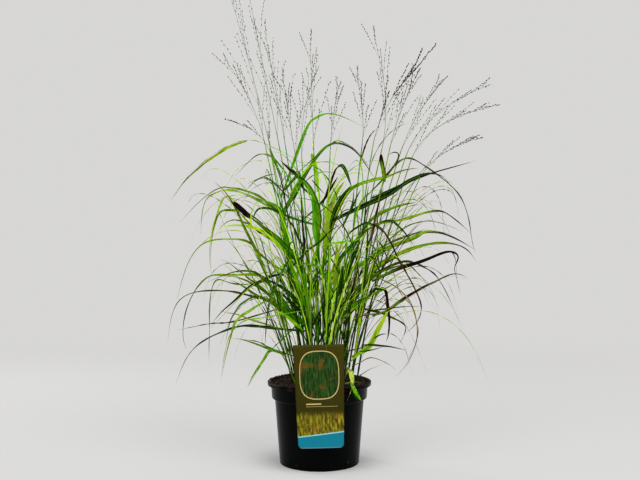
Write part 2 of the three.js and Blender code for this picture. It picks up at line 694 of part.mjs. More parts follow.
/** A blade's rings: a root inside the stem, widest at a third, then a long taper to a point. */
function bladeRings(curve, width, roll, twist, steps) {
  const shares = Array.from({ length: steps + 1 }, (_, i) => i / steps);
  const section = (share) => {
    if (share === 1) return null;
    if (share === 0) return [[ROOT_SIZE, 0], [0, ROOT_SIZE], [-ROOT_SIZE, 0]];
    const half = (width / 2) * Math.min(1, FOOT_WIDTH + FILL_OUT * share) * (1 - share ** 3);
    return [[half, 0], [0, KEEL], [-half, 0]];
  };
  return strandRings(curve, shares, section, roll, twist);
}

/** Roots from which a blade could pass a first point and go on along a heading, the best first. */
function rootsTowards(culms, first, heading) {
  const rootsOf = (culm, i) => culm.knots().map((z) => ({ culm, number: i + 1, root: culm.at(z) }));
  const cost = ({ root }) => {
    const run = first.clone().sub(root);
    const bend = 1 - run.clone().normalize().dot(heading);
    return Math.abs(run.length() - ROOT_RUN) + Math.abs(run.y) + BEND_COST * bend;
  };
  return culms.flatMap(rootsOf).sort((a, b) => cost(a) - cost(b));
}

/** Lays one of the listed blades from the best root that leaves it clear of the rest. */
function layOutlineBlade({ w, y, xz }, culms) {
  const depth = (i) => THREE.MathUtils.lerp(y[0], y[1], i / (xz.length - 1));
  const points = xz.map(([x, z], i) => new THREE.Vector3(x, depth(i), z));
  const heading = points[1].clone().sub(points[0]).normalize();
  const roll = Math.sign(points.at(-1).x - points[0].x) * between(...LISTED_ROLL);
  return rootsTowards(culms, points[0], heading).slice(0, ROOTS_TRIED).some(({ culm, number, root }) => {
    const ways = DEPTH_SHIFTS.map((shift) => () => {
      const moved = points.map((point) => point.clone().add(new THREE.Vector3(0, shift, 0)));
      const curve = new THREE.CatmullRomCurve3([root, ...moved], false, "centripetal");
      return bladeRings(curve, w, roll, LISTED_TWIST, LONG_BLADE_STEPS);
    });
    const rings = layFirstFree(ways, number);
    if (rings) culm.strands.push(rings);
    return rings !== null;
  });
}

/** An arching blade from a knot: up along the stem, out, and over by its droop from 0 to 1. */
function archedBlade(culm, z, heading, length, droop) {
  const root = culm.at(z);
  const stem = culm.direction(z);
  const out = new THREE.Vector3(Math.cos(heading), Math.sin(heading), 0);
  const part = (ends) => length * THREE.MathUtils.lerp(...ends, droop);
  const [reach, rise] = [part(ARCH.reach), part(ARCH.rise)];
  const turn = (share) => {
    const up = root.clone().addScaledVector(stem, share.rise * rise);
    return up.addScaledVector(out, share.reach * reach);
  };
  const end = root.clone().addScaledVector(UP, part(ARCH.tip)).addScaledVector(out, reach);
  return new THREE.CubicBezierCurve3(root, turn(ARCH.shoulder), turn(ARCH.crown), end);
}

/** Fills a culm's knot with a blade, if some way of laying one is free. */
function layRuleBlade(culm, number, z, side) {
  const [awayX, awayY] = [culm.neck.x - CLUMP_CENTRE.x, culm.neck.y - CLUMP_CENTRE.y];
  const lean = Math.atan2(awayY, awayX);
  const outer = Math.min(Math.hypot(awayX, awayY) / OUTER_NECK, 1);
  const ways = Array.from({ length: BLADE_TRIES }, (_, round) => () => {
    const droop = chance() * THREE.MathUtils.lerp(MIDDLE_DROOP, 1, outer);
    const heading = lean + side * between(HEADING[0], HEADING[1] - HEADING_DROOP * droop);
    const length = between(...BLADE_LENGTH) * (round < BLADE_TRIES / 2 ? 1 : SHORTER);
    const curve = archedBlade(culm, z + between(-KNOT_STRAY, KNOT_STRAY), heading, length, droop);
    const width = between(...BLADE_WIDTH);
    return bladeRings(curve, width, between(-ROLL, ROLL), between(-TWIST, TWIST), BLADE_STEPS);
  });
  const rings = layFirstFree(ways, number, underCeiling);
  if (rings) culm.strands.push(rings);
}

/** The listed blades, then one at the top of every leafy culm, then one at each knot from the top down. */
function growBlades(culms) {
  OUTLINE_BLADES.forEach((blade) => layOutlineBlade(blade, culms));
  const knotsOf = (culm, i) =>
    culm.knots().map((z, k) => ({ culm, number: i + 1, z, side: k % 2 ? 1 : -1 }));
  const knots = culms.flatMap(knotsOf).sort((a, b) => b.z - a.z);
  const topmost = knots.filter(({ culm, z }) => !culm.tip && z === culm.knots().at(-1));
  [...topmost, ...knots, ...knots].forEach(({ culm, number, z, side }) => {
    if (strandCount - CULM_COUNT < BLADES_AIMED_FOR) layRuleBlade(culm, number, z, side);
  });
}

// ---------------------------------------------------------------- panicles

const TRIANGLE = [0, 1, 2].map((i) => [Math.cos((2 * Math.PI * i) / 3), Math.sin((2 * Math.PI * i) / 3)]);

/** A twig's rings: thin, with one spikelet past the middle and one that ends it. */
function twigRings(curve) {
  const half = SPIKELET_LENGTH / 2 / curve.getLength();
  const waist = [0, MIDDLE_SPIKELET - half, MIDDLE_SPIKELET + half, 1 - 2 * half];
  const bellies = [MIDDLE_SPIKELET, 1 - half];
  const shares = [...waist, ...bellies, 1].sort((a, b) => a - b);
  const section = (share) => {
    if (share === 1) return null;
    const thin = share === 0 ? TWIG_RADIUS / 2 : TWIG_RADIUS;
    const radius = bellies.includes(share) ? SPIKELET_RADIUS : thin;
    return TRIANGLE.map(([u, v]) => [radius * u, radius * v]);
  };
  return strandRings(curve, shares, section, 0, 0);
}

/** The line of a panicle: straight on from the culm, then bending to its tip. */
function panicleAxis(culm) {
  const start = culm.neck.clone().add(new THREE.Vector3(0, 0, GAP));
  const onward = culm.direction(culm.neck.z).multiplyScalar(AXIS_BEND * start.distanceTo(culm.tip));
  return new THREE.QuadraticBezierCurve3(start, start.clone().add(onward), culm.tip);
}

/** The axis of a panicle, whose foot is level because it stands on the level neck of its culm. */
function axisRings(axis) {
  const shares = Array.from({ length: AXIS_STEPS + 1 }, (_, i) => i / AXIS_STEPS);
  const section = (share) => {
    if (share === 1) return null;
    const radius = THREE.MathUtils.lerp(AXIS_RADIUS, AXIS_END_RADIUS, share);
    return TRIANGLE.map(([u, v]) => [radius * u, radius * v]);
  };
  const [, ...rest] = strandRings(axis, shares, section, 0, 0);
  const foot = rest[0].map((corner) => corner.clone().sub(axis.getPoint(shares[1])).setLength(AXIS_RADIUS));
  return [foot.map((corner) => corner.setZ(0).add(axis.getPoint(0))), ...rest];
}

/** Gives every panicle's axis its room before any blade grows. */
function raisePanicles(culms) {
  culms.filter((culm) => culm.tip).forEach((culm) => {
    strandCount += 1;
    culm.panicleNumber = strandCount;
    culm.stalk = axisRings(panicleAxis(culm));
    air.take(skinPoints(culm.stalk), strandCount);
  });
}

/** A point of the axis as built, on the straight between two of its rings. */
function onAxis(axis, share) {
  const step = Math.floor(share * AXIS_STEPS);
  const [low, high] = [axis.getPoint(step / AXIS_STEPS), axis.getPoint((step + 1) / AXIS_STEPS)];
  return low.lerp(high, share * AXIS_STEPS - step);
}

function panicle(culm) {
  const axis = panicleAxis(culm);
  const size = axis.getLength();
  const twigs = [];
  for (let i = 0; i < PANICLE_BRANCHES; i += 1) {
    const share = THREE.MathUtils.lerp(FIRST_TWIG, LAST_TWIG, i / (PANICLE_BRANCHES - 1));
    const from = onAxis(axis, share);
    const onward = axis.getTangent(share);
    const length = Math.min(size * THREE.MathUtils.lerp(...TWIG_LENGTH, share), LONGEST_TWIG);
    const ways = Array.from({ length: TWIG_TRIES }, (_, round) => () => {
      const turn = i * GOLDEN_ANGLE + between(-TWIG_TURN, TWIG_TURN) + TWIG_TURN * round;
      const out = new THREE.Vector3(Math.cos(turn), Math.sin(turn), 0).multiplyScalar(TWIG_SPREAD * length);
      const middle = from.clone().addScaledVector(onward, length / 2).addScaledVector(out, TWIG_BOW);
      const end = from.clone().addScaledVector(onward, TWIG_ONWARD * length).add(out);
      return twigRings(new THREE.QuadraticBezierCurve3(from, middle, end));
    });
    const rings = layFirstFree(ways, culm.panicleNumber);
    if (rings) twigs.push(rings);
  }
  return twigs.reduce((body, rings) => body.add(solidOf(skin(rings))), solidOf(skin(culm.stalk)));
}

// ---------------------------------------------------------------- assembly

const numbered = (word, number) => `${word}_${String(number).padStart(2, "0")}`;

const plant = new THREE.Group();
const culms = growCulms();
raisePanicles(culms);
growBlades(culms);
plant.add(piece("pot", pot(), POT_PLASTIC));
plant.add(piece("soil", soil(culms), COMPOST));
plant.add(piece("label", label(), LABEL_CARD));
culms.forEach((culm, i) => plant.add(piece(numbered("culm", i + 1), culm.solid(), LEAF)));
culms.filter((culm) => culm.tip).forEach((culm, i) => {
  plant.add(piece(numbered("panicle", i + 1), panicle(culm), FLOWER));
});

export default plant;
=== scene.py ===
"""A potted switchgrass: arching blades and airy flower heads over a black pot with a hanging card."""

import bpy
import numpy as np
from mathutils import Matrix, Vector


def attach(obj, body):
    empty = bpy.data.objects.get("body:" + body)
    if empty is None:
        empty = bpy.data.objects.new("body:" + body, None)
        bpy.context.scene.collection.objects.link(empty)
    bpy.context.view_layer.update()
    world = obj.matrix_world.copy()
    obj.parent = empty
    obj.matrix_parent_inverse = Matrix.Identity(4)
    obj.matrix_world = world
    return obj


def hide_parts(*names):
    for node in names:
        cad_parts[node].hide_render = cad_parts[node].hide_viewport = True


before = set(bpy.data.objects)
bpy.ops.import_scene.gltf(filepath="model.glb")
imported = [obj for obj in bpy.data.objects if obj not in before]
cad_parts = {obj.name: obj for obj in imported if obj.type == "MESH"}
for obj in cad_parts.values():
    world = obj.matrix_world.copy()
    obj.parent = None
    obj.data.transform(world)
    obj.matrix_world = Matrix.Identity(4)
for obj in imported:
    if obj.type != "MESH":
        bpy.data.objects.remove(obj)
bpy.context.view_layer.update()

# ------------------------------------------------------------------ the pot
# A 3-litre nursery pot, injection moulded in black polypropylene: a thin tapered wall with a
# wider band and a rolled lip that stiffen its mouth, and drains in its floor. It left the mould
# with a satin skin, and has since been rubbed along its foot.

POT_SIDES = 160
WALL = 0.0016
BASE, SHOULDER, BAND_FOOT, BAND, LIP = 0.0725, 0.0815, 0.087, 0.0885, 0.095
LIP_TOP, LIP_UNDER, SHOULDER_AT, POT_FLOOR = 0.149, 0.142, 0.117, 0.003
GROOVE_IN, GROOVE_OUT, GROOVE_DEEP = 0.036, 0.064, 0.0015
DRAINS, DRAIN_RADIUS, DRAIN_CIRCLE, DRAIN_SIDES, DRAIN_CUT = 8, 0.005, 0.052, 24, (-0.002, 0.006)
BEND, AXIS = 0.0014, 0.0002  # how far its bends reach, and the radius at which a turned solid closes
EAST, NORTH = np.array([[[1.0, 0, 0]]]), np.array([[[0, 1.0, 0]]])


def columns(*values):
    """Numbers side by side, as the last axis of one array."""
    return np.stack(np.broadcast_arrays(*values), axis=-1)


def unit(vectors):
    """The same directions with a length of 1."""
    return vectors / np.linalg.norm(vectors, axis=-1, keepdims=True)


def bowed(first, middle, last, t):
    """Curves from first to last, pulled towards a middle: (1-t)^2, 2t(1-t) and t^2 of the three."""
    t = t[..., None]
    return (1 - t) ** 2 * first + 2 * t * (1 - t) * middle + t**2 * last


def rounded(corners, cut, steps=4):
    """A line with its corners rounded: each inner corner becomes a bend that starts and ends a cut away."""
    corners = np.asarray(corners, float)
    before, corner, after = corners[:-2], corners[1:-1], corners[2:]

    def towards(other):
        run = other - corner
        size = np.linalg.norm(run, axis=1, keepdims=True)
        return (corner + run * np.minimum(cut, 0.45 * size) / size)[:, None]

    bends = bowed(towards(before), corner[:, None], towards(after), np.linspace(0, 1, steps)[None])
    return np.vstack([corners[:1], bends.reshape(-1, corners.shape[1]), corners[-1:]])


def carried(centres, across, under, profile):
    """A closed profile carried along many paths at once. Corner k of ring s on a path is the path's
    point there, plus the profile's first number times the across direction, plus its second times the
    under direction. Walls join neighbouring rings, and a flat face closes each end."""
    corners = centres[:, :, None] + profile[..., :1] * across[:, :, None]
    corners = corners + profile[..., 1:] * under[:, :, None]
    number = np.arange(corners[..., 0].size).reshape(corners.shape[:3])
    beside = np.roll(number, -1, axis=2)
    walls = [number[:, :-1], beside[:, :-1], beside[:, 1:], number[:, 1:]]
    walls = np.stack(walls, axis=-1).reshape(-1, 4)
    return corners.reshape(-1, 3), [walls, number[:, 0, ::-1], number[:, -1]]


def outward(turn):
    """The level directions of length 1 at these angles."""
    return columns(np.cos(turn), np.sin(turn), 0)


def circle(sides):
    """The corners of a circle of radius 1."""
    return outward(np.linspace(0, 2 * np.pi, sides, endpoint=False))[:, :2]


def turned(radii, heights, sides):
    """A solid turned about the upright axis: ring s is a circle of radius s at height s."""
    rings = radii[None, :, None, None] * circle(sides)
    return carried(columns(0, 0, heights)[None], EAST, NORTH, rings)


def joined(shapes):
    """Several shapes as one: their points in a row, and their faces counted on from each other."""
    points, faces, start = [], [], 0
    for part_points, part_faces in shapes:
        points.append(part_points)
        faces += [kind + start for kind in part_faces]
        start += len(part_points)
    return np.vstack(points), faces


def made(name, points, faces, finish, replaces=(), marks=None):
    mesh = bpy.data.meshes.new(name)
    mesh.from_pydata(points.tolist(), [], [face for kind in faces for face in kind.tolist()])
    mesh.polygons.foreach_set("use_smooth", np.full(len(mesh.polygons), True))
    for mark, values in (marks or {}).items():
        layer = mesh.attributes.new(mark, "FLOAT_VECTOR", "POINT")
        layer.data.foreach_set("vector", np.asarray(values, np.float32).ravel())
    mesh.materials.append(finish)
    mesh.update()
    item = bpy.data.objects.new(name, mesh)
    bpy.context.scene.collection.objects.link(item)
    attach(item, "root")
    if replaces:
        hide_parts(*replaces)
    return item


class Wire:
    """A socket in a finish's node tree that takes part in sums: each operator adds its Math node."""

    def __init__(self, tree, socket=None):
        self.tree, self.socket = tree, socket

    def node(self, kind, settings=None, inputs=None, output=0):
        """Any other node, from its type, the settings that come first, and its sockets' values or links."""
        node = self.tree.nodes.new(kind)
        for name, value in (settings or {}).items():
            setattr(node, name, value)
        for name, value in (inputs or {}).items():
            if isinstance(value, Wire):
                self.tree.links.new(value.socket, node.inputs[name])
            else:
                node.inputs[name].default_value = value
        return Wire(self.tree, node.outputs[output] if node.outputs else None)

    def sum(self, operation, *values):
        return self.node("ShaderNodeMath", {"operation": operation}, dict(enumerate(values)))

    def __add__(self, other):
        return self.sum("ADD", self, other)

    def __sub__(self, other):
        return self.sum("SUBTRACT", self, other)

    def __rsub__(self, other):
        return self.sum("SUBTRACT", other, self)

    def __mul__(self, other):
        return self.sum("MULTIPLY", self, other)

    def __pow__(self, other):
        return self.sum("POWER", self, other)

    def __abs__(self):
        return self.sum("ABSOLUTE", self)

    __radd__, __rmul__ = __add__, __mul__

    def step(self, start, end):
        """0 where the value is under start and 1 over end, smooth between; falling if end is under start."""
        inputs = {"Value": self, "From Min": start, "From Max": end}
        return self.node("ShaderNodeMapRange", {"interpolation_type": "SMOOTHSTEP"}, inputs)

    def mix(self, there, here):
        """One colour where the value is 0 and another where it is 1."""
        return self.node("ShaderNodeMix", {"data_type": "RGBA"}, {0: self, 6: there, 7: here}, output=2)

    def noise(self, scale, detail=3, roughness=0.55):
        """Cloudy noise from 0 to 1 over a vector."""
        inputs = {"Vector": self, "Scale": scale, "Detail": detail, "Roughness": roughness}
        return self.node("ShaderNodeTexNoise", None, inputs)

    def axes(self):
        """The three numbers of a vector."""
        parts = self.tree.nodes.new("ShaderNodeSeparateXYZ")
        self.tree.links.new(self.socket, parts.inputs[0])
        return [Wire(self.tree, number) for number in parts.outputs]

    def mark(self, name):
        """The three numbers of one of the mesh's own marks."""
        return self.node("ShaderNodeAttribute", {"attribute_name": name}, output=1).axes()

    def vector(self, x, y, z):
        return self.node("ShaderNodeCombineXYZ", None, {0: x, 1: y, 2: z})


def new_finish(name):
    """An empty material, the start for its sums, and its place coordinate."""
    finish = bpy.data.materials.new(name)
    finish.use_nodes = True
    finish.node_tree.nodes.clear()
    start = Wire(finish.node_tree)
    return finish, start, start.node("ShaderNodeTexCoord", output=3)


def surface(start, colour, roughness, relief=None, depth=0.001, **constants):
    """A Principled surface with a relief of that depth, joined to the finish's output."""
    inputs = {"Base Color": colour, "Roughness": roughness}
    if relief is not None:
        bump = {"Height": relief, "Distance": depth, "Strength": 1.0}
        inputs["Normal"] = start.node("ShaderNodeBump", None, bump)
    inputs |= {name.replace("_", " "): value for name, value in constants.items()}
    shown = start.node("ShaderNodeBsdfPrincipled", None, inputs)
    start.node("ShaderNodeOutputMaterial", None, {"Surface": shown})


def rgb(red, green, blue):
    return (red, green, blue, 1)


foot = [(AXIS, 0), (GROOVE_IN, 0), (GROOVE_IN, GROOVE_DEEP), (GROOVE_OUT, GROOVE_DEEP), (GROOVE_OUT, 0)]
outside = [(BASE, 0), (SHOULDER, SHOULDER_AT), (BAND_FOOT, SHOULDER_AT + 0.002), (BAND, LIP_UNDER)]
lip = [(LIP, LIP_UNDER), (LIP, LIP_TOP), (BAND, LIP_TOP), (BAND - WALL, LIP_UNDER)]
inside = [(BAND_FOOT - WALL, SHOULDER_AT + 0.0036), (SHOULDER - WALL, SHOULDER_AT)]
inside += [(BASE - WALL, POT_FLOOR), (AXIS, POT_FLOOR)]
pot_line = rounded(foot + outside + lip + inside, BEND)
pot_points, pot_faces = turned(pot_line[:, 0], pot_line[:, 1], POT_SIDES)

black, start, place = new_finish("pot_plastic")
x, y, z = place.axes()
flow = start.vector(x * 40, y * 40, z * 1.5).noise(1.6, 4)
cloud = place.noise(22, 4)
foot_rub = place.noise(85, 5, 0.7).step(0.58, 0.72) * z.step(0.03, 0.004)
rim_dust = place.noise(60, 4).step(0.5, 0.68) * z.step(0.132, 0.147)
tint = (0.5 * foot_rub + 0.04 * flow).mix(rgb(0.0008, 0.0013, 0.0015), rgb(0.09, 0.095, 0.10))
tint = (0.35 * rim_dust).mix(tint, rgb(0.09, 0.055, 0.035))
relief = 0.5 * place.noise(900, 2) + 0.35 * flow + foot_rub
bloom = {"Sheen_Weight": 0.22, "Sheen_Roughness": 0.25, "Sheen_Tint": rgb(0.75, 0.9, 1.0)}
gloss = 0.2 + 0.12 * cloud + 0.12 * foot_rub
surface(start, tint, gloss, relief, 0.00018, Specular_IOR_Level=0.06, **bloom)

pot = made("nursery_pot", pot_points, pot_faces, black, ["pot"])
spots = outward((np.arange(DRAINS) + 0.5) / DRAINS * 2 * np.pi) * DRAIN_CIRCLE
bore, bore_faces = turned(np.full(2, DRAIN_RADIUS), np.array(DRAIN_CUT), DRAIN_SIDES)
bores, bores_faces = joined([(bore + spot, bore_faces) for spot in spots])
drill = made("drains", bores, bores_faces, black)
cut = pot.modifiers.new("drains", "BOOLEAN")
cut.object, cut.solver = drill, "EXACT"
bpy.context.view_layer.update()
drilled = bpy.data.meshes.new_from_object(pot.evaluated_get(bpy.context.evaluated_depsgraph_get()))
pot.modifiers.clear()
pot.data = drilled
bpy.data.objects.remove(drill)

# ------------------------------------------------------------------ the compost
# Damp peat and composted bark, filled nearly to the rim and settled by watering. Its top is lumpy,
# and loose crumbs, bark chips and a few pale fibres lie on it and against the wall.

COMPOST_TOP, COMPOST_EDGE = 0.1425, 0.0864
COMPOST_SIDES, COMPOST_RINGS = 150, 44
# radius and height of the corners of its underside and its side, which follow the pot's inside
FILLED_FROM = [(0.0003, 0.0036), (0.068, 0.0036), (0.0705, 0.006), (0.0795, 0.118), (0.085, 0.1215)]
HEAPED, STRAYED = 0.0042, 0.0915  # how far it rises towards the wall, and how far crumbs lie on the lip
WAVES, WAVE_LENGTH, WAVE_SLOPE = 40, (0.005, 0.045), 0.016
CRUMBS, CRUMB_SIZE = 2600, (0.0007, 0.0030)
# how dented, broad and flat the crumbs are as shares of their length, and the share that are no fibres
DENTED, BROADNESS, FLATNESS, ALL_BUT_FIBRES = (0.7, 1.15), (0.4, 0.9), (0.25, 0.6), 0.965

chance = np.random.default_rng(11)
wave_length = np.geomspace(*WAVE_LENGTH, WAVES)
wave_turn, wave_start = chance.uniform(0, 2 * np.pi, (2, WAVES))


def lumps(spots):
    """Height of the compost's lumps: crossed waves of many lengths, each as high as its length allows."""
    along = spots[..., :1] * np.cos(wave_turn) + spots[..., 1:2] * np.sin(wave_turn)
    return (WAVE_SLOPE * wave_length * np.sin(along / wave_length * 2 * np.pi + wave_start)).sum(axis=-1)


def heap(spots):
    """How far the compost has been pushed up against the wall: a fourth power of the way out."""
    return HEAPED * (np.hypot(spots[..., 0], spots[..., 1]) / COMPOST_EDGE) ** 4


crown = np.linspace(AXIS, COMPOST_EDGE, COMPOST_RINGS)[::-1]
under_crown = np.array(FILLED_FROM + [(COMPOST_EDGE, COMPOST_TOP - 0.002)])
radii = np.concatenate([under_crown[:, 0], crown])
heights = np.concatenate([under_crown[:, 1], np.full(COMPOST_RINGS, COMPOST_TOP)])
fill_points, fill_faces = turned(radii, heights, COMPOST_SIDES)
top = fill_points[:, 2] > COMPOST_TOP - 0.001
fill_points[top, 2] += lumps(fill_points[top]) + heap(fill_points[top])

GOLD = (1 + 5**0.5) / 2
ball = np.array([(a, b * GOLD, 0) for a in (-1, 1) for b in (-1, 1)], float)
ball = np.vstack([ball, np.roll(ball, 1, axis=1), np.roll(ball, 2, axis=1)]) / np.hypot(1, GOLD)
apart = np.linalg.norm(ball[:, None] - ball, axis=-1)
near = (apart > 0) & (apart < 1.2)
ball_faces = [(a, b, c) for a in range(12) for b in range(a, 12) for c in range(b, 12)]
ball_faces = np.array([(a, b, c) for a, b, c in ball_faces if near[a, b] and near[b, c] and near[a, c]])
facing = np.linalg.det(ball[ball_faces])
ball_faces[facing < 0] = ball_faces[facing < 0][:, ::-1]


def crumbs_at(spots, sizes, shades):
    """Crumbs of twelve corners each: a ball pulled long and flat, turned at random and set at its spot."""
    turns = np.linalg.qr(chance.normal(size=(len(spots), 3, 3)))[0]
    turns[np.linalg.det(turns) < 0, 0] *= -1
    dents = ball * chance.uniform(*DENTED, (len(spots), 12, 1))
    points = (dents * sizes[:, None]) @ turns + spots[:, None]
    faces = ball_faces[None] + 12 * np.arange(len(spots))[:, None, None]
    return points.reshape(-1, 3), faces.reshape(-1, 3), np.repeat(shades, 12, axis=0)


away = STRAYED * np.sqrt(chance.uniform(0, 1, CRUMBS)) ** 0.7
spots = away[:, None] * outward(chance.uniform(0, 2 * np.pi, CRUMBS))
size = CRUMB_SIZE[0] + (CRUMB_SIZE[1] - CRUMB_SIZE[0]) * chance.power(0.5, CRUMBS)
on_fill = COMPOST_TOP + lumps(spots) + np.minimum(heap(spots), 0.0052) + 0.3 * size
spots[:, 2] = np.where(away > BAND - 0.0012, np.maximum(on_fill, LIP_TOP + 0.35 * size), on_fill)
flat = columns(size, size * chance.uniform(*BROADNESS, CRUMBS), size * chance.uniform(*FLATNESS, CRUMBS))
dark, red, fibre = chance.random((3, CRUMBS))
shade = columns(dark, red, fibre > ALL_BUT_FIBRES)
crumb_points, crumb_faces, crumb_shade = crumbs_at(spots, flat, shade)

peat, start, place = new_finish("compost")
brown = place.noise(210, 5, 0.65)
damp = place.noise(38, 3)
tint = brown.step(0.3, 0.7).mix(rgb(0.004, 0.0024, 0.0018), rgb(0.075, 0.046, 0.032))
tint = (0.5 * damp).mix(tint, rgb(0.010, 0.006, 0.005))
surface(start, tint, 0.95 - 0.3 * damp, place.noise(420, 5, 0.7), 0.0012, Specular_IOR_Level=0.25)
made("compost_fill", fill_points, fill_faces, peat, ["soil"])

chips, start, place = new_finish("bark_crumbs")
dark, red, pale = start.mark("crumb")
tint = dark.mix(rgb(0.006, 0.004, 0.0035), rgb(0.10, 0.058, 0.037))
tint = (0.4 * red.step(0.6, 1)).mix(tint, rgb(0.16, 0.06, 0.035))
tint = (0.8 * pale).mix(tint, rgb(0.42, 0.32, 0.22))
tint = (0.35 * place.noise(800, 3)).mix(tint, rgb(0.010, 0.006, 0.005))
surface(start, tint, 0.7 + 0.2 * dark, place.noise(900, 3), 0.0005, Specular_IOR_Level=0.3)
made("compost_crumbs", crumb_points, [crumb_faces], chips, marks={"crumb": crumb_shade})

# ------------------------------------------------------------------ the label
# A printed card of plastic sheet, cut with rounded lower corners. A tongue of the same sheet hooks
# over the lip and goes down into the compost, so that the card hangs in front of the pot.

CARD_TOP, CARD_HEIGHT, CARD_THICK = 0.226, 0.179, 0.0008
CARD_HALF_TOP, CARD_HALF_FOOT, CARD_CORNER = 0.0445, 0.0395, 0.007
CARD_TILT, CARD_SHIFT, CARD_FRONT, CARD_BOW = np.radians(1.5), -0.0015, -0.0962, 0.0012
TONGUE_HALF, TONGUE_LEG, TONGUE_END, TONGUE_BRIDGE, TONGUE_BEND = 0.007, -0.0842, 0.121, 0.1498, 0.002

corner = CARD_CORNER * (1 - np.cos(np.linspace(0, np.pi / 2, 12)))
height = np.concatenate([corner, np.linspace(0.008, CARD_HEIGHT, 40)])
corner = np.sqrt(np.maximum(CARD_CORNER**2 - (CARD_CORNER - np.minimum(height, CARD_CORNER)) ** 2, 0))
half = CARD_HALF_FOOT + (CARD_HALF_TOP - CARD_HALF_FOOT) * height / CARD_HEIGHT - CARD_CORNER + corner
across = np.linspace(-1, 1, 25)
side = np.concatenate([across, across[::-1]])
depth = np.repeat([-1, 1], 25) * CARD_THICK / 2
card_x = half[:, None] * side
bow = CARD_BOW * (card_x / CARD_HALF_TOP) ** 2
profile = columns(card_x, bow + depth)[None]
line = columns(0, CARD_FRONT + CARD_THICK / 2, height - CARD_HEIGHT)[None]
card_points, card_faces = carried(line, EAST, NORTH, profile)
cosine, sine = np.cos(CARD_TILT), np.sin(CARD_TILT)
tilted = np.array([[cosine, 0, sine], [0, 1, 0], [-sine, 0, cosine]])
card_points = card_points @ tilted + [CARD_SHIFT, 0, CARD_TOP]
card_print = columns(card_x, height[:, None], depth < 0).reshape(-1, 3)

hook = [(CARD_FRONT + 0.0006, TONGUE_BRIDGE), (TONGUE_LEG, TONGUE_BRIDGE), (TONGUE_LEG, TONGUE_END)]
hook = columns(0, *rounded(hook, TONGUE_BEND, 6).T)[None]
strip = np.array([(-1, -1), (1, -1), (1, 1), (-1, 1)]) * (TONGUE_HALF, CARD_THICK / 2)
tongue_under = np.cross(unit(np.gradient(hook, axis=1)), EAST)
tongue_points, tongue_faces = carried(hook, EAST, tongue_under, strip)
label_points, label_faces = joined([(card_points, card_faces), (tongue_points, tongue_faces)])
label_print = np.vstack([card_print, np.zeros_like(tongue_points) + [0, 0.1, 0]])

printed, start, place = new_finish("printed_card")
side, height, front = start.mark("print")
OLIVE, CREAM, GOLDEN = rgb(0.070, 0.062, 0.0028), rgb(0.60, 0.47, 0.22), rgb(0.40, 0.34, 0.018)
tint = (place.noise(30, 2) * 0.5 + 4.5 * height).mix(rgb(0.040, 0.036, 0.003), OLIVE)
meadow = start.vector(side * 260, height * 70, 0.0).noise(1.0, 4, 0.65)
glow = start.vector(side * 30, height * 45, 3.0).noise(1.0, 2)
field = meadow.step(0.38, 0.66).mix(rgb(0.09, 0.075, 0.008), GOLDEN)
field = (meadow.step(0.62, 0.8) * 0.8).mix(field, rgb(0.66, 0.6, 0.2))
field = (glow.step(0.55, 0.8) * 0.6).mix(field, rgb(0.45, 0.2, 0.03))
tint = height.step(0.066, 0.052).mix(tint, field)
edge = height - 0.021 - 0.1 * side - 0.0015
tint = edge.step(0.0028, 0.0022).mix(tint, rgb(0.33, 0.62, 0.62))
tint = edge.step(0.0004, 0.0).mix(tint, rgb(0.01, 0.25, 0.34))
tint = height.step(0.0022, 0.0014).mix(tint, rgb(0.16, 0.27, 0.33))
PANEL_AT, PANEL_HALF, PANEL_HIGH = 0.1265, 0.0335, 0.0410
panel = (abs(side * (1 / PANEL_HALF)) ** 3 + abs((height - PANEL_AT) * (1 / PANEL_HIGH)) ** 3) ** (1 / 3)
stems = start.vector(side * 300 + 900 * side * (height - 0.09), height * 45, 7.0).noise(1.0, 4, 0.7)
patches = start.vector(side * 45, height * 45, 1.0).noise(1.0, 2)
leaves = stems.step(0.35, 0.65).mix(rgb(0.012, 0.026, 0.006), rgb(0.045, 0.13, 0.02))
leaves = (stems.step(0.6, 0.78) * 0.8).mix(leaves, rgb(0.33, 0.42, 0.12))
leaves = (patches.step(0.5, 0.7) * 0.7).mix(leaves, rgb(0.22, 0.10, 0.012))
tint = panel.step(1.0, 0.985).mix(tint, leaves)
tint = abs(panel - 1.01).step(0.028, 0.018).mix(tint, CREAM)


def bar(middle, half_width, level, half_height):
    """1 inside a plain printed bar and 0 outside it."""
    beside = abs(side - middle).step(half_width + 0.0003, half_width)
    return beside * abs(height - level).step(half_height + 0.0003, half_height)


tint = (bar(-0.011, 0.013, 0.0765, 0.0011) + bar(0.003, 0.027, 0.0722, 0.0002)).mix(tint, CREAM)
tint = front.step(0.4, 0.6).mix(rgb(0.35, 0.34, 0.27), tint)
scuffs = place.noise(140, 4)
surface(start, tint, 0.36 + 0.14 * scuffs, place.noise(300, 3), 0.00012, Specular_IOR_Level=0.16)
marks = {"print": label_print}
made("hanging_card", label_points, label_faces, printed, ["label"], marks)

# ------------------------------------------------------------------ the tillers
# Each tiller is one stem in its sheaths, hollow and hard, purple at its foot, with knots from which
# the sheaths rise. A long narrow blade leaves the top of each sheath, folded along a pale midrib.
# The blades arch over, and some twist. The last leaf of a young tiller is still rolled up.

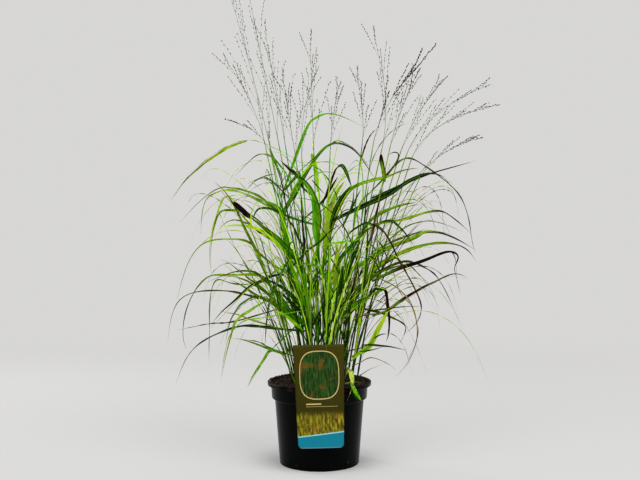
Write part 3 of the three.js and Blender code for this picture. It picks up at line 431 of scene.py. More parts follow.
CULM_FOOT, CULM_LEVELS, CULM_SIDES = 0.1235, 90, 9
FOOT_RADIUS, NECK_RADIUS, SPEAR = 0.0015, 0.0008, 0.022
KNOT_GAPS = 0.02, 0.045, 0.06, 0.075, 0.085, 0.09, 0.09
KNOT_HIGH, SHEATH_LONG = 0.0022, 0.05
BLADE_LEVELS, BLADE_THICK, RIB = 36, 0.00042, 0.0004
BROAD = 0.004  # a blade narrower than this is thinner too
FOLDED, WAVY, TWISTED, UNTWISTED, FOOT_WIDTH, FILL_OUT, TAPER = (0.6, 0.3), 0.0007, 1.3, 0.2, 0.4, 2.2, 1.6
SLENDER = (0.4, 0.12), (0.07, 0.16)  # width of a common blade as a share of its solid's, inside and far out

FINE_LEVELS, LOW_SHARE, LOW_ROOTS, HIGH_ROOTS = 22, 0.8, (0.146, 0.26), 0.2
FINE, FINE_REACH = (7, 2), 0.13  # fine blades of an upright tiller and of one that leans out this far
FINE_LENGTH, FINE_WIDTH = (0.12, 0.30), (0.0013, 0.0034)
FINE_LOW, FINE_HIGH = np.array([-0.22, -0.2, 0.15]), np.array([0.21, 0.23, 0.615])
# how much lighter and broader the youngest fine blades are, which they are, and how far out they stand
PALE, PALE_BROAD, PALE_FROM, PALE_WITHIN = 0.6, 0.5, 0.5, 0.14


def table(text):
    """The rows of a table of numbers, each of which ends in a semicolon."""
    return [np.array(row.split(), float) for row in text.split(";") if row.strip()]


# place of a blade's tip across and up in millimetres, its width as a share of the solid's, and then how
# light, how wine red and how dry the blade is, and its taper
TONES = """
-263 474 .12 .4 .1 0 1.6;
308 129 .04 .8 0 0 1.6;
252 235 .08 .6 0 0 1.6;
-161 526 .9 .25 .2 .1 1.6;
-140 502 .9 .3 .3 0 1.6;
-266 441 1.3 .38 .2 0 .9;
-207 419 1.1 .5 .25 0 .9;
-203 516 .9 .15 .3 .2 1.6;
-186 338 .7 .6 .1 .1 1.6;
95 521 .3 .22 .3 0 1.6;
84 620 1.1 .5 .05 0 1.6;
-15 568 .4 .7 0 0 1.6;
50 509 .6 .7 .1 0 1.6;
-81 548 .9 .15 .8 0 1.6;
-73 558 .9 .1 .85 0 1.6;
36 551 .9 .1 .8 0 1.6;
119 571 .5 .15 .3 0 1.6;
297 382 .85 .1 .4 0 1.6;
220 517 1.3 0 .12 0 1.3;
166 530 .5 .4 .25 0 1.6;
302 560 1.5 .03 .8 0 1.6;
168 472 1.3 .4 .3 0 1.6;
298 417 1.1 .5 .6 0 1.6;
259 419 .9 .35 .25 0 1.6;
-252 301 .9 .45 0 0 1.6;
-254 199 .9 .4 .1 0 1.6;
-300 207 1 .12 .3 .1 1.6;
-187 255 .9 .6 0 .1 1.6;
-271 136 .95 .08 .15 0 1.6;
-166 169 .3 .6 .15 .1 1.6;
-124 152 .3 .45 .2 0 1.6;
282 389 2 .48 .45 0 1;
302 365 2 .45 .35 0 1;
244 312 .3 .3 .8 0 1.6;
278 245 1.1 .1 .6 0 1.6;
251 342 .25 .5 .3 0 1.6;
138 245 .3 .15 .8 0 1.6;
116 236 .2 .05 .9 0 1.6;
158 203 1.2 .2 .3 .1 1.6;
153 135 .25 .2 .3 .1 1.6;
112 275 .5 .9 0 0 1.6;
-186 196 .5 .25 .3 0 1.6;
173 187 .5 .1 .3 0 1.6;
-174 214 .8 .4 .1 0 1.6;
-284 226 .8 .15 .3 0 1.6;
-199 510 .06 .7 0 .2 1.6;
-176 491 .08 .3 .3 0 1.6;
"""
BLADE_TONES = np.array(table(TONES))
SAME_TIP = 0.002  # how close a listed tip and a blade's own tip have to be

# what is known of the built solids: the lowest height at which stems stand free, the most that one of
# their rings measures, the heights between which blades leave them, and how the built blades fill out
STEM_FREE, STEM_RING, STEM_SPAN, BUILT_FOOT, BUILT_FILL = 0.158, 0.0062, (0.13, 0.62), 0.6, 1.4


def corners_of(node):
    """The corners of a built node, those that coincide made one, and which of them an edge joins."""
    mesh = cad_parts[node].data
    spots = np.empty(3 * len(mesh.vertices), np.float32)
    mesh.vertices.foreach_get("co", spots)
    edges = np.empty(2 * len(mesh.edges), np.int32)
    mesh.edges.foreach_get("vertices", edges)
    spots = spots.reshape(-1, 3).astype(float)
    spots, same = np.unique(spots.round(6), axis=0, return_inverse=True)
    first, second = same.reshape(-1)[edges].reshape(-1, 2).T
    linked = np.zeros((len(spots), len(spots)), bool)
    linked[first, second] = linked[second, first] = True
    return spots, linked


def strands_in(spots, linked):
    """Each strand of a node: its tip, the rings of three corners below it, the lowest first, and the
    middle of the seam where it enters the stem."""
    strands = []
    for tip in np.flatnonzero(linked.sum(axis=1) == 3):
        seen = np.arange(len(spots)) == tip
        ring, rings = np.flatnonzero(linked[tip]), []
        while len(ring) == 3 and linked[np.ix_(ring, ring)].sum() == 6:
            rings.append(spots[ring])
            seen[ring] = True
            ring = np.flatnonzero(linked[ring].any(axis=0) & ~seen)
        if len(rings) > 3:
            strands.append((spots[tip], np.array(rings[::-1]), spots[ring].mean(axis=0)))
    return strands


def stem_in(spots):
    """The line of a stem: x and y as squares of the height, fitted to the middles of its level rings."""
    heights, which, count = np.unique(spots[:, 2].round(4), return_inverse=True, return_counts=True)
    levels = [spots[which.reshape(-1) == level] for level in np.flatnonzero(count == 4)]
    middles = np.array([ring.mean(axis=0) for ring in levels if np.ptp(ring, axis=0).max() < STEM_RING])
    fitted = middles[middles[:, 2] > STEM_FREE]
    return np.polyfit(fitted[:, 2], fitted[:, :2], 2), middles[-1, 2]


def stem_at(line, height):
    return columns(np.polyval(line[:, 0], height), np.polyval(line[:, 1], height), height)


def smooth(points, count):
    """A smooth line through evenly spaced points, as a natural cubic spline: between two points it is
    their straight mix plus (a^3-a)/6 of the bend at the first and (b^3-b)/6 of that at the second."""
    last = len(points) - 1
    system = 4 * np.eye(last + 1) + np.eye(last + 1, k=1) + np.eye(last + 1, k=-1)
    system[[0, -1]] = np.eye(last + 1)[[0, -1]]
    bends = np.zeros_like(points)
    bends[1:-1] = 6 * (points[2:] - 2 * points[1:-1] + points[:-2])
    bends = np.linalg.solve(system, bends)
    at = np.linspace(0, last, count)
    low = np.minimum(at.astype(int), last - 1)
    b = (at - low)[:, None]
    a = 1 - b
    mixed = a * points[low] + b * points[low + 1]
    return mixed + ((a**3 - a) * bends[low] + (b**3 - b) * bends[low + 1]) / 6


def blade_in(strand, line):
    """A blade's middle line from its root in the stem, its across direction, its width and its tip."""
    tip, rings, seam = strand
    opposite = np.linalg.norm(np.roll(rings, -1, axis=1) - np.roll(rings, -2, axis=1), axis=-1)
    keel = opposite.argmax(axis=1)
    at = np.arange(len(rings))
    left, right, low = rings[at, (keel + 1) % 3], rings[at, (keel + 2) % 3], rings[at, keel]
    middles, across = (left + right) / 2, right - left
    across[1:] *= np.cumprod(np.sign(np.sum(across[1:] * across[:-1], axis=-1)))[:, None]
    shares = (at + 1) / (len(rings) + 1)
    filled = np.minimum(1, BUILT_FOOT + BUILT_FILL * shares) * (1 - shares**3)
    width = np.median(np.linalg.norm(across, axis=-1) / filled)
    axis = stem_at(line, np.linspace(*STEM_SPAN, 700))
    ray = unit(seam - middles[0])
    miss = np.linalg.norm(np.cross(axis - middles[0], ray), axis=-1)
    points = np.vstack([axis[miss.argmin()], middles, tip])
    along = np.gradient(points, axis=0)[1:-1]
    turned_over = np.sum((low - middles) * np.cross(along, across)) < 0
    across = unit(across) * (-1 if turned_over else 1)
    return smooth(points, BLADE_LEVELS), np.vstack([across[:1], across, across[-1:]]), width


def blades(lines, across, widths, seeds, tones, twisted=TWISTED, taper=TAPER, corners=5):
    """Blades along their lines. At share t of its length a blade has min(1, 0.4 + 2.2t)(1 - t^taper) of
    its width. Its section is a shallow V whose sides rise from the midrib to waved margins, rolled
    about the line by a twist that grows with the square of t."""
    levels = lines.shape[1]
    t = np.linspace(0, 1, levels)[None]
    places = np.linspace(0, across.shape[1] - 1, levels)
    low = np.minimum(places.astype(int), across.shape[1] - 2)
    part = (places - low)[None, :, None]
    flat = across[:, low] * (1 - part) + across[:, low + 1] * part
    along = unit(np.gradient(lines, axis=1))
    flat = unit(flat - np.sum(flat * along, axis=-1, keepdims=True) * along)
    under = np.cross(along, flat)
    roll = (twisted * (seeds[:, :1] - 0.5) * 2 * t**2)[..., None]
    flat, under = flat * np.cos(roll) + under * np.sin(roll), under * np.cos(roll) - flat * np.sin(roll)
    filled = np.minimum(1, FOOT_WIDTH + FILL_OUT * t) * (1 - t**taper)
    half = widths[:, None] / 2 * np.maximum(filled, 0.03)
    u = np.linspace(-1, 1, corners)
    u = np.concatenate([u, u[::-1]])
    skin = np.repeat([-1, 1], corners) * (1 - 0.6 * abs(u)) * BLADE_THICK / 2
    rib = RIB * (u == 0) * (skin > 0)
    depth = (FOLDED[0] + (FOLDED[1] - FOLDED[0]) * t) * (0.6 + 0.8 * seeds[:, 1:2])
    waves = WAVY * np.sin(2 * np.pi * (t * (3 + 5 * seeds[:, 2:3]) + seeds[:, :1])) * np.sin(np.pi * t)
    side = half[..., None] * u
    drop = (half * depth)[..., None] * (1 - abs(u)) + waves[..., None] * u * abs(u)
    thinned = np.minimum(1, 4 * (1.03 - t)) * np.minimum(1, widths / BROAD)[:, None]
    drop = drop + (skin + rib) * thinned[..., None]
    points, faces = carried(lines, flat, under, columns(side, drop))
    blade = columns(u, t[..., None], seeds[:, None, :1])
    tone = tones[:, None, None] + 0 * blade
    return points, faces, blade.reshape(-1, 3), tone.reshape(-1, 3)


def common_tones(seeds, tips):
    """How light, wine red and dry a blade is: most are dark or bright, few between, and the red ones
    stand mostly on the right."""
    light = np.where(seeds[:, 3] < 0.5, 0.05 + 0.5 * seeds[:, 3], 0.15 + 0.75 * seeds[:, 3])
    red = (seeds[:, 2] > 0.93 - 0.25 * np.clip(tips[:, 0] / 0.2, 0, 1)) * 0.85
    return columns(light, red, 0.3 * (seeds[:, 1] > 0.96))


def room_for(start, end, low, high, least):
    """The share of each way from start to end that stays inside a box, and at least the least."""
    room = np.where(end > start, (high - start) / (end - start), (low - start) / (end - start))
    return np.clip(room.min(axis=1), least, 1)[:, None]


def fine_blades(line, neck, number):
    """Narrower blades of a tiller, some from its foot and upright, the others from places up the stem.
    Each leaves along the stem, leans out, and ends upright or hanging: a cubic curve with its pull
    points a third and two thirds of the way."""
    low = chance.random(number) < LOW_SHARE
    z = np.where(low, chance.uniform(*LOW_ROOTS, number), chance.uniform(HIGH_ROOTS, neck - 0.03, number))
    root = stem_at(line, z)
    up = unit(stem_at(line, z + 0.001) - root)
    heading = np.arctan2(root[:, 1], root[:, 0]) + chance.normal(0, 0.9, number)
    out = outward(heading)
    high_length = chance.uniform(*FINE_LENGTH, number) * (1.15 - 0.6 * (z - 0.17) / 0.4)
    length = np.where(low, chance.uniform(*FINE_LENGTH, number), high_length)[:, None]
    lean = np.where(low, chance.uniform(0.0, 0.5, number), chance.uniform(0.1, 0.9, number))[:, None]
    hang = np.where(low, chance.power(0.3, number) * 0.4, chance.power(0.7, number) * 0.9)[:, None]
    first = root + up * 0.35 * length
    second = first + (up * (1 - 0.6 * hang) + out * lean) * 0.35 * length
    end = second + (up * (0.8 - 1.8 * hang) + out * (0.1 + 1.2 * lean)) * 0.32 * length
    room = room_for(root, end, FINE_LOW, FINE_HIGH, 0.3)[:, None]
    t = np.linspace(0, 1, FINE_LEVELS)[:, None]
    weights = [(1 - t) ** 3, 3 * t * (1 - t) ** 2, 3 * t**2 * (1 - t), t**3]
    lines = sum(weight * spot[:, None] for weight, spot in zip(weights, (root, first, second, end)))
    lines = root[:, None] + (lines - root[:, None]) * room
    across = np.cross(out + 0.5 * chance.normal(size=out.shape), up)
    return lines, np.stack([across, across], axis=1), chance.uniform(*FINE_WIDTH, number)


def stem(line, neck, rolled, seed):
    """A stem from the compost to its neck. Each knot is a ring of swelling, the sheath that rises from
    it is a little wider than the stem, and on a young tiller the rolled leaf tapers to a point."""
    top = neck + SPEAR * rolled
    z = np.linspace(CULM_FOOT, top, CULM_LEVELS)
    knots = 0.15 + np.cumsum(KNOT_GAPS) * (0.9 + 0.25 * seed)
    near = z[:, None] - knots
    swell = 0.22 * np.exp(-((near / KNOT_HIGH) ** 2)).sum(axis=1)
    sheath = 0.16 * np.where((near > 0) & (near < SHEATH_LONG), 1 - near / SHEATH_LONG, 0).sum(axis=1)
    share = np.clip((z - 0.14) / (neck - 0.14), 0, 1)
    radius = (FOOT_RADIUS + (NECK_RADIUS - FOOT_RADIUS) * share) * (1 + swell + sheath)
    radius = radius * np.clip((top - z) / SPEAR / 0.9 + 0.08, 0, 1) if rolled else radius
    rings = radius[None, :, None, None] * circle(CULM_SIDES)
    points, faces = carried(stem_at(line, z)[None], EAST, NORTH, rings)
    blade = columns(0.6 * circle(CULM_SIDES)[:, 0] + 0 * z[:, None], 0.5, seed)
    wine = np.clip((0.30 - z) / 0.12, 0, 1) * 0.6 * (seed > 0.5) + 1.5 * swell
    light = -0.1 + 0.55 * np.clip((z - 0.25) / 0.25, 0, 1) + 0.8 * sheath - swell
    tone = columns(light, np.clip(wine, 0, 1), 0)[:, None] + 0 * blade
    return points, faces, blade.reshape(-1, 3), tone.reshape(-1, 3)


leaf, start, place = new_finish("leaf")
beside, share, seed = start.mark("blade")
light, wine, dry = start.mark("tone")
streaks = start.vector(beside * 3, share * 1.2, seed * 91).noise(2.2, 4, 0.65)
patches = start.vector(beside * 0.5, share * 6, seed * 57).noise(1.0, 3)
veins = start.vector(beside * 12, share * 0.8, seed * 33).noise(2.0, 2)
x, y, z = place.axes()
# painted shade: blades low in the clump, below 0.36 m and fully under 0.2 m, are darkened where shade falls
# among the stems; blades far out across, beyond 0.17 m, are darker too
painted_base_shade_and_outer_dark = 0.17 * z.step(0.36, 0.2) + 0.2 * abs(x).step(0.17, 0.27)
outer = abs(x).step(0.05, 0.15)
glow = light + 1.5 * (streaks - 0.5) + 0.8 * (patches - 0.5) - painted_base_shade_and_outer_dark
green = outer.mix(rgb(0.048, 0.33, 0.001), rgb(0.16, 0.34, 0.003))
lime = outer.mix(rgb(0.50, 0.85, 0.014), rgb(0.60, 0.84, 0.02))
tint = glow.step(0.05, 0.5).mix(rgb(0.0015, 0.026, 0.0005), green)
tint = glow.step(0.42, 0.95).mix(tint, lime)
tint = glow.step(1.0, 1.3).mix(tint, rgb(0.74, 0.90, 0.16))
tint = (0.4 * abs(beside).step(0.2, 0.05)).mix(tint, rgb(0.30, 0.50, 0.08))
ends = share.step(0.7, 1.0) * patches.step(0.46, 0.62)
margin = wine.step(0.05, 0.3) * beside.step(0.35, 0.9)
red = (share + wine).step(1.0, 1.3) * (0.75 + 0.6 * (patches - 0.35)) + 0.8 * ends + 0.8 * margin
tint = red.step(0.15, 0.85).mix(tint, rgb(0.010, 0.0035, 0.003))
withered = dry.step(0, 0.5) * patches.step(0.4, 0.6) + 0.4 * share.step(0.95, 1.0)
tint = withered.mix(tint, rgb(0.42, 0.33, 0.16))
lit_through = {"Subsurface_Weight": 0.3, "Subsurface_Scale": 0.002}
surface(start, tint, 0.42 + 0.2 * patches, veins, 0.0003, Specular_IOR_Level=0.04, **lit_through)

CULMS = sorted(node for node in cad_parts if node.startswith("culm_"))
PANICLES = sorted(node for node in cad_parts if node.startswith("panicle_"))
stems = {}
for node in CULMS:
    spots, linked = corners_of(node)
    line, neck = stem_in(spots)
    stems[node] = line, neck
    strands = [blade_in(strand, line) for strand in strands_in(spots, linked)]
    flowers = node.replace("culm", "panicle") in PANICLES
    shapes = [stem(line, neck, not flowers, chance.random())]
    if strands:
        lines = np.array([strand[0] for strand in strands])
        widths = np.array([strand[2] for strand in strands])
        seeds = chance.random((len(strands), 4))
        tones = common_tones(seeds, lines[:, -1])
        away = np.linalg.norm(BLADE_TONES[:, :2] / 1000 - lines[:, -1:, ::2], axis=-1)
        listed, nearest = away.min(axis=1) < SAME_TIP, BLADE_TONES[away.argmin(axis=1)]
        tones[listed] = nearest[listed, 3:6]
        tapers = np.where(listed, nearest[:, 6], TAPER)[:, None]
        twists = np.where(listed, UNTWISTED, TWISTED)[:, None]
        widths *= np.where(listed, nearest[:, 2], np.interp(abs(lines[:, -1, 0]), SLENDER[1], SLENDER[0]))
        for group in {len(strand[1]) for strand in strands}:
            which = [i for i, strand in enumerate(strands) if len(strand[1]) == group]
            across = np.array([strands[i][1] for i in which])
            these = [each[which] for each in (widths, seeds, tones, twists, tapers)]
            shapes.append(blades(lines[which], across, *these))
    lean = min(abs(stem_at(line, 0.42)[0]) / FINE_REACH, 1)
    lines, across, widths = fine_blades(line, neck, round(FINE[0] + (FINE[1] - FINE[0]) * lean))
    seeds = chance.random((len(lines), 4))
    tones = common_tones(seeds, lines[:, -1])
    pale = (seeds[:, 1] > PALE_FROM) & (np.abs(lines[:, -1, 0]) < PALE_WITHIN)
    tones[:, 0] += PALE * pale * (0.5 + seeds[:, 0])
    shapes.append(blades(lines, across, widths * (1 + PALE_BROAD * pale), seeds, tones, corners=3))
    points, faces, blade, tone = zip(*shapes)
    points, faces = joined(zip(points, faces))
    marks = {"blade": np.vstack(blade), "tone": np.vstack(tone)}
    made(node.replace("culm", "tiller"), points, faces, leaf, [node], marks)

# ------------------------------------------------------------------ the young shoots
# Thin upright shoots that have come up between the tillers, each one narrow blade straight out of the
# compost.

SHOOTS, SHOOTS_OUT, SHOOT_LEAN = 24, 0.052, 1.5
SHOOT_LENGTH, SHOOT_WIDTH = (0.10, 0.27), (0.0013, 0.0030)

out = outward(chance.uniform(0, 2 * np.pi, SHOOTS))
away = SHOOTS_OUT * chance.uniform(0, 1, (SHOOTS, 1)) ** 0.5
root = out * away + [0, 0, CULM_FOOT + 0.012]
length = chance.uniform(*SHOOT_LENGTH, (SHOOTS, 1))
leaning = out * away * SHOOT_LEAN / SHOOTS_OUT * 0.2 + chance.normal(0, 0.06, (SHOOTS, 3)) * [1, 1, 0]
knee = root + length * 0.55 * (leaning + [0, 0, 1])
end = knee + length * 0.45 * (leaning * 2.2 + chance.normal(0, 0.12, (SHOOTS, 3)) + [0, 0, 0.9])
lines = bowed(root[:, None], knee[:, None], end[:, None], np.linspace(0, 1, FINE_LEVELS)[None])
across = np.cross(chance.normal(size=(SHOOTS, 3)), [0, 0, 1.0])
seeds = chance.random((SHOOTS, 4))
tones = common_tones(seeds, lines[:, -1])
widths = chance.uniform(*SHOOT_WIDTH, SHOOTS)
across = np.stack([across, across], axis=1)
points, faces, blade, tone = blades(lines, across, widths, seeds, tones, corners=3)
made("young_shoots", points, faces, leaf, marks={"blade": blade, "tone": tone})

# ------------------------------------------------------------------ the leading blades
# The blades that lie over all the others at the front of the clump, its broadest among them. Some
# have buckled, some are dark, and a few have begun to wither.

# how deep each blade stands at its root and at its tip, its width, how light, wine red and dry it is,
# its taper, and its places across and up. All lengths are in millimetres.
LEADING = """
-20 -75 10 .85 0 .25 3 10 367 10 407 14 439 21 467 29 488 38 502 45 510;
-15 -60 11 .75 .35 .1 1.2 5 343 12 392 25 440 34 465 44 484 57 499 74 508 96 514 119 519 140 528
  161 533 176 534;
-60 -70 4 0 1 0 3 5 467 13 490 20 508 26 525 31 534 38 538;
-71 -80 7 .15 0 0 3 33 536 40 537 46 528 51 515 57 497;
-62 -85 4.5 .1 1 0 4 3 471 12 484 22 501 33 518;
-20 -80 10 .5 .45 0 2.5 -1 367 -3 407 -1 439 -4 468 -15 495 -29 512 -45 525 -59 537 -69 547;
-20 -50 12 .4 .5 0 .8 -59 398 -64 429 -64 456 -51 481 -39 502 -28 520 -13 545 5 568 24 580 44 578
  64 566 80 546 90 530 97 519;
-20 -85 10 .34 0 0 3 -24 338 -38 371 -56 391 -73 409 -92 424 -109 438 -121 447;
-86 -95 9 0 1 0 9 -117 444 -126 451 -134 459 -143 467 -149 473;
-20 -90 6.5 .35 .15 0 1.6 -79 298 -91 333 -104 368 -120 403 -133 430 -145 458 -157 480 -170 497
  -183 508;
-20 -80 8 .92 0 .1 1.2 -30 340 -51 371 -74 400 -97 420 -116 429 -132 432 -147 433 -163 431 -176
  423 -186 410;
-35 -80 9 .15 0 0 2 -13 260 -27 284 -45 304 -64 322 -87 335 -107 341;
-35 -84 10 .5 0 0 2 -10 234 -27 257 -45 273 -64 286 -83 298 -100 308;
-40 -86 7 .05 0 0 2 -17 249 -31 276 -47 294 -64 311 -82 324;
-45 -90 6.5 .05 .45 0 1.6 -63 345 -84 343 -101 335 -119 327 -137 312 -153 297 -170 282 -188 260;
-30 -70 6 .6 0 0 2 -19 236 -24 267 -27 300 -31 333 -36 368 -43 398;
-20 -70 8 .3 .1 0 1.6 45 289 61 313 82 330 101 345 122 356 148 363 166 368;
-60 -80 5.5 .2 .95 .2 2 82 389 91 412 96 432 99 451 106 477 113 501;
-20 -75 9 .55 0 0 1.6 37 265 51 281 72 298 93 310 117 322 138 335;
-45 -75 5.5 .05 .8 0 2 -35 357 -29 380 -27 402 -29 428 -31 460 -32 491;
-25 -75 11 .2 0 0 3 34 298 42 332 53 361 63 386 73 407;
-35 -75 7 .75 .15 .25 3 24 299 30 336 33 368 31 389 27 403;
-25 -70 9 .5 0 0 2.2 -42 317 -49 353 -56 389 -61 421 -68 455 -79 469 -94 475 -110 481;
-52 -60 7.5 .4 .45 0 12 116 510 115 521 113 533 110 547 109 560;
-45 -60 4 .15 .5 0 1.6 115 514 128 532 138 547 140 560 130 562 121 556;
-30 -70 6 .5 .1 0 1.4 46 356 55 389 69 411 88 427 107 435 126 441 145 439;
-81 -81 4.8 .5 .1 0 2.2 -126 580 -142 575 -160 568 -179 556 -198 543 -217 527 -238 506 -259 475;
-50 -110 5 .35 .25 0 1.6 -100 435 -121 451 -138 458 -155 459 -168 458 -176 449 -181 431 -185 407
  -187 369;
-40 -70 3 .3 .3 0 1.4 -103 421 -124 434 -141 441 -155 442 -168 435 -180 421;
40 70 2.2 .2 .3 0 1.4 -86 531 -101 529 -119 523 -141 513;
-88 -88 3.5 .75 0 0 2 -119 428 -119 443 -117 457 -110 473;
-60 -86 4 .05 .2 0 2.5 -71 455 -87 462 -101 463 -109 459 -114 449 -115 437;
-30 -60 6.5 .25 0 0 1.2 -64 297 -83 321 -99 337 -115 349 -131 352 -148 351 -173 343 -201 331;
-20 -70 6 .4 0 0 1.6 -57 276 -80 299 -97 314 -115 327 -132 336 -149 342 -164 343;
-30 -80 6 .35 .1 0 1.8 -35 255 -65 280 -88 297 -109 308 -128 321 -143 331 -156 337;
-70 -120 5 .6 .1 .1 2.5 -87 303 -109 292 -121 284 -132 278 -140 271 -147 261 -151 244 -158 216
  -166 176;
-60 -110 4 .3 .2 0 1.6 -91 306 -117 306 -128 301 -138 294 -146 282 -153 269 -157 252 -162 227;
-40 -80 4 .65 0 .2 1.4 -67 246 -95 257 -116 264 -133 271 -148 277 -164 280 -175 285;
-60 -95 6 .3 .4 .1 1.6 -52 375 -62 358 -71 339 -79 320 -87 297 -91 271 -93 246 -94 222;
20 60 4.5 .3 .35 0 1.2 -81 295 -104 315 -119 326 -133 334 -144 343 -158 353 -172 363 -188 371;
-60 -95 8 .35 0 0 2 -29 237 -41 263 -53 285 -67 304 -82 322 -99 340;
-62 -90 6 .8 0 0 3 -27 246 -41 259 -55 272 -67 280 -80 284;
-80 -125 5.5 .62 .1 .1 2 -57 203 -82 216 -94 204 -105 188 -115 172 -122 158;
-85 -120 4.5 .5 .1 .1 1.8 -58 207 -82 217 -102 226 -122 234 -142 240;
-82 -92 4 .05 .35 0 3 -51 358 -37 371 -27 383 -15 393 3 406 13 417 24 426 39 436;
-80 -88 4.5 0 .4 0 1.6 -20 369 -29 397 -37 410 -42 424 -51 438 -62 454 -74 468;
-80 -90 4.5 .65 .1 0 2 5 395 17 400 31 402 46 404 62 406 74 412 86 424;
-75 -95 4 0 .6 0 1.6 47 411 57 423 69 431 81 437 93 434 105 426 115 416 127 400;
-70 -74 3 0 .5 0 3 75 414 79 439 81 460 83 481 87 505;
-74 -80 4 .12 0 0 3 40 428 47 444 54 459 59 477 60 498;
-72 -76 3 .1 .2 0 3 57 460 64 479 73 496;
-68 -80 8 .5 0 0 3 -2 389 -8 421 -9 447 -11 472 -15 496;
-85 -95 4.5 0 .6 0 2.5 41 236 48 266 53 292 56 317 62 339 70 362;
-92 -95 3.5 0 .8 0 3 -2 234 2 260 1 282 6 298;
-74 -82 6 .75 0 .1 2 41 270 57 284 71 293 85 304 99 318;
-95 -97 6.5 .6 .2 1 5 25 296 32 304 37 310 42 319;
-90 -94 4.5 .15 .7 .3 3 34 254 44 270 55 281 65 291;
-78 -86 7 .6 0 0 2 -29 271 -32 302 -39 332 -49 358 -60 379;
-80 -86 5 .35 0 0 3 -13 267 -18 302 -25 332 -29 355;
-80 -84 5 1.1 0 0 3 19 267 25 302 32 332 38 355;
-45 -60 5 .7 .2 0 1 -53 486 -42 505 -29 525 -17 538 -4 545 10 546 24 544 38 538 51 533;
20 10 8 .75 0 .1 9 -3 497 -5 523 -8 543 -12 558 -15 568;
-70 -82 5.5 .2 .1 0 2 -29 512 -38 518 -46 512 -55 501 -64 491 -70 480;
-20 -30 5 .3 .1 0 2 -90 574 -84 557 -79 545 -73 532 -68 519 -64 501;
-80 -84 2.5 .05 .6 0 2 -13 512 -2 499 11 485;
-76 -92 10 .35 1 0 .8 92 335 111 344 127 352 144 359 163 365 184 372 203 380 220 386 232 386 240
  381 240 372 235 361 236 348 244 319;
-70 -130 4 .12 .95 .1 1.3 89 432 99 433 109 426 117 414 126 398 134 378 144 359 155 340 167 316
  173 300 172 283 161 263 150 253;
-60 -80 2.2 .1 .5 0 1.5 150 370 165 357 178 343 193 329;
-30 -60 3 .35 .3 0 1.4 111 391 127 409 144 423 162 434 179 439 197 441 216 437 235 430 256 420;
-78 -90 5 .08 .15 0 1.8 106 438 120 441 130 438 140 429 149 419 157 407 168 393;
-75 -85 3 0 .6 0 2 87 379 95 374 102 360 107 343;
-76 -86 3 0 .5 0 2 103 405 109 397 116 381 121 358;
-60 -130 2.8 .3 .3 .3 1.6 100 342 115 335 131 327 144 316 154 305 161 291 166 274 168 256 167 238
  161 219 152 201 140 186 128 176;
-40 -104 10 1.1 0 .1 4 58 197 74 208 88 220 97 239 105 257 113 274 120 287;
-100 -104 2.5 .1 .3 0 2 92 236 101 242 109 245 118 245;
-85 -100 4 .05 .3 0 1.8 74 224 90 225 105 224 119 223 132 221 151 217;
-88 -96 2.5 .05 .4 0 2 69 213 83 215 96 218 112 223;
-88 -110 3 .08 .4 0 1.6 77 278 94 285 113 288 133 291 154 293 179 293;
-90 -98 2.8 .1 .7 .2 2 57 266 70 274 84 278 100 280 115 283;
-84 -100 2 .3 .2 .3 1.4 57 188 72 195 89 203 108 198 122 191 134 181;
-45 -70 1.8 .1 .3 0 1.4 60 155 69 164 79 172 91 180 112 189;
-10 -66 9 .25 .25 0 2.5 12 398 17 429 26 457 38 480 49 495 57 504;
-50 -85 8 .3 .1 0 2.5 19 345 33 368 49 389 64 405 78 417;
-60 -88 7 .2 0 0 2.5 -11 315 -22 340 -34 361 -48 379 -58 390;
-60 -92 4.5 .5 0 0 2 19 345 1 358 -15 364 -29 365 -41 358;
-50 -84 5 .85 0 .2 2 24 327 28 357 34 386 43 410 55 431;
-50 -84 5 .25 .1 0 2 -29 300 -15 329 5 358 22 379 41 395;
-50 -86 5 .45 0 0 2 33 300 17 329 3 358 -8 383 -23 402;
-50 -84 4 .15 .2 0 2 54 300 42 326 33 351 19 376 3 395;
-45 -90 6 .4 0 0 2 10 219 -2 251 -17 281 -29 306 -37 331;
-45 -88 5 .15 .1 0 2 -3 219 12 248 27 273 41 295 57 313;
-45 -90 5 .05 .2 0 2 23 219 13 248 6 275 5 302 10 327;
-45 -88 4.5 .3 0 0 2 46 223 36 251 24 277 13 299 -2 317;
-45 -86 4 .1 0 0 2 -24 219 -15 248 -2 275 13 297 27 310;
-50 -90 7 .5 .88 .1 1.2 94 272 108 277 121 283 137 295 152 306 170 317 185 326 200 333 217 342
  234 348 248 346 256 341;
-75 -95 5.5 .05 .9 0 3 85 302 92 317 102 322 113 321 117 311 119 294 121 275 121 256 119 241 115
  231;
"""

# ------------------------------------------------------------------ the fallen blades
# A broad blade has buckled over the lip beside the card and shows first its pale underside, then its
# green face. Two dry strands lie across it.

# the width of each, how light, wine red and dry it is, its taper, and its places, in millimetres
FALLEN = """
11 1.5 0 .5 9 41 -27 150 47 -36 171 53 -49 177 57 -63 167 58 -79 151;
8 .75 0 .05 5 55 -72 158 58 -79 152 63 -80 142 69 -74.5 132 74 -70 124;
6 .02 0 0 3 52 -74 152 55 -80.5 147 59 -80 139 64 -77.5 131 70 -72.5 125;
1.8 .6 .3 .8 2 38 -79 153 46 -83 157.5 57 -82 159 68 -74 158 78 -62 153;
2 .3 .2 .9 2 62 -70 156 58 -81 152 54 -87 142 50 -89.5 132 47 -90 124;
"""


def deepened(places, root, tip):
    """Places with their depths, which go from root to tip as the 0.8th power of the way."""
    way = np.linspace(0, 1, len(places)) ** 0.8
    return np.insert(places, 1, root + (tip - root) * way, axis=1)


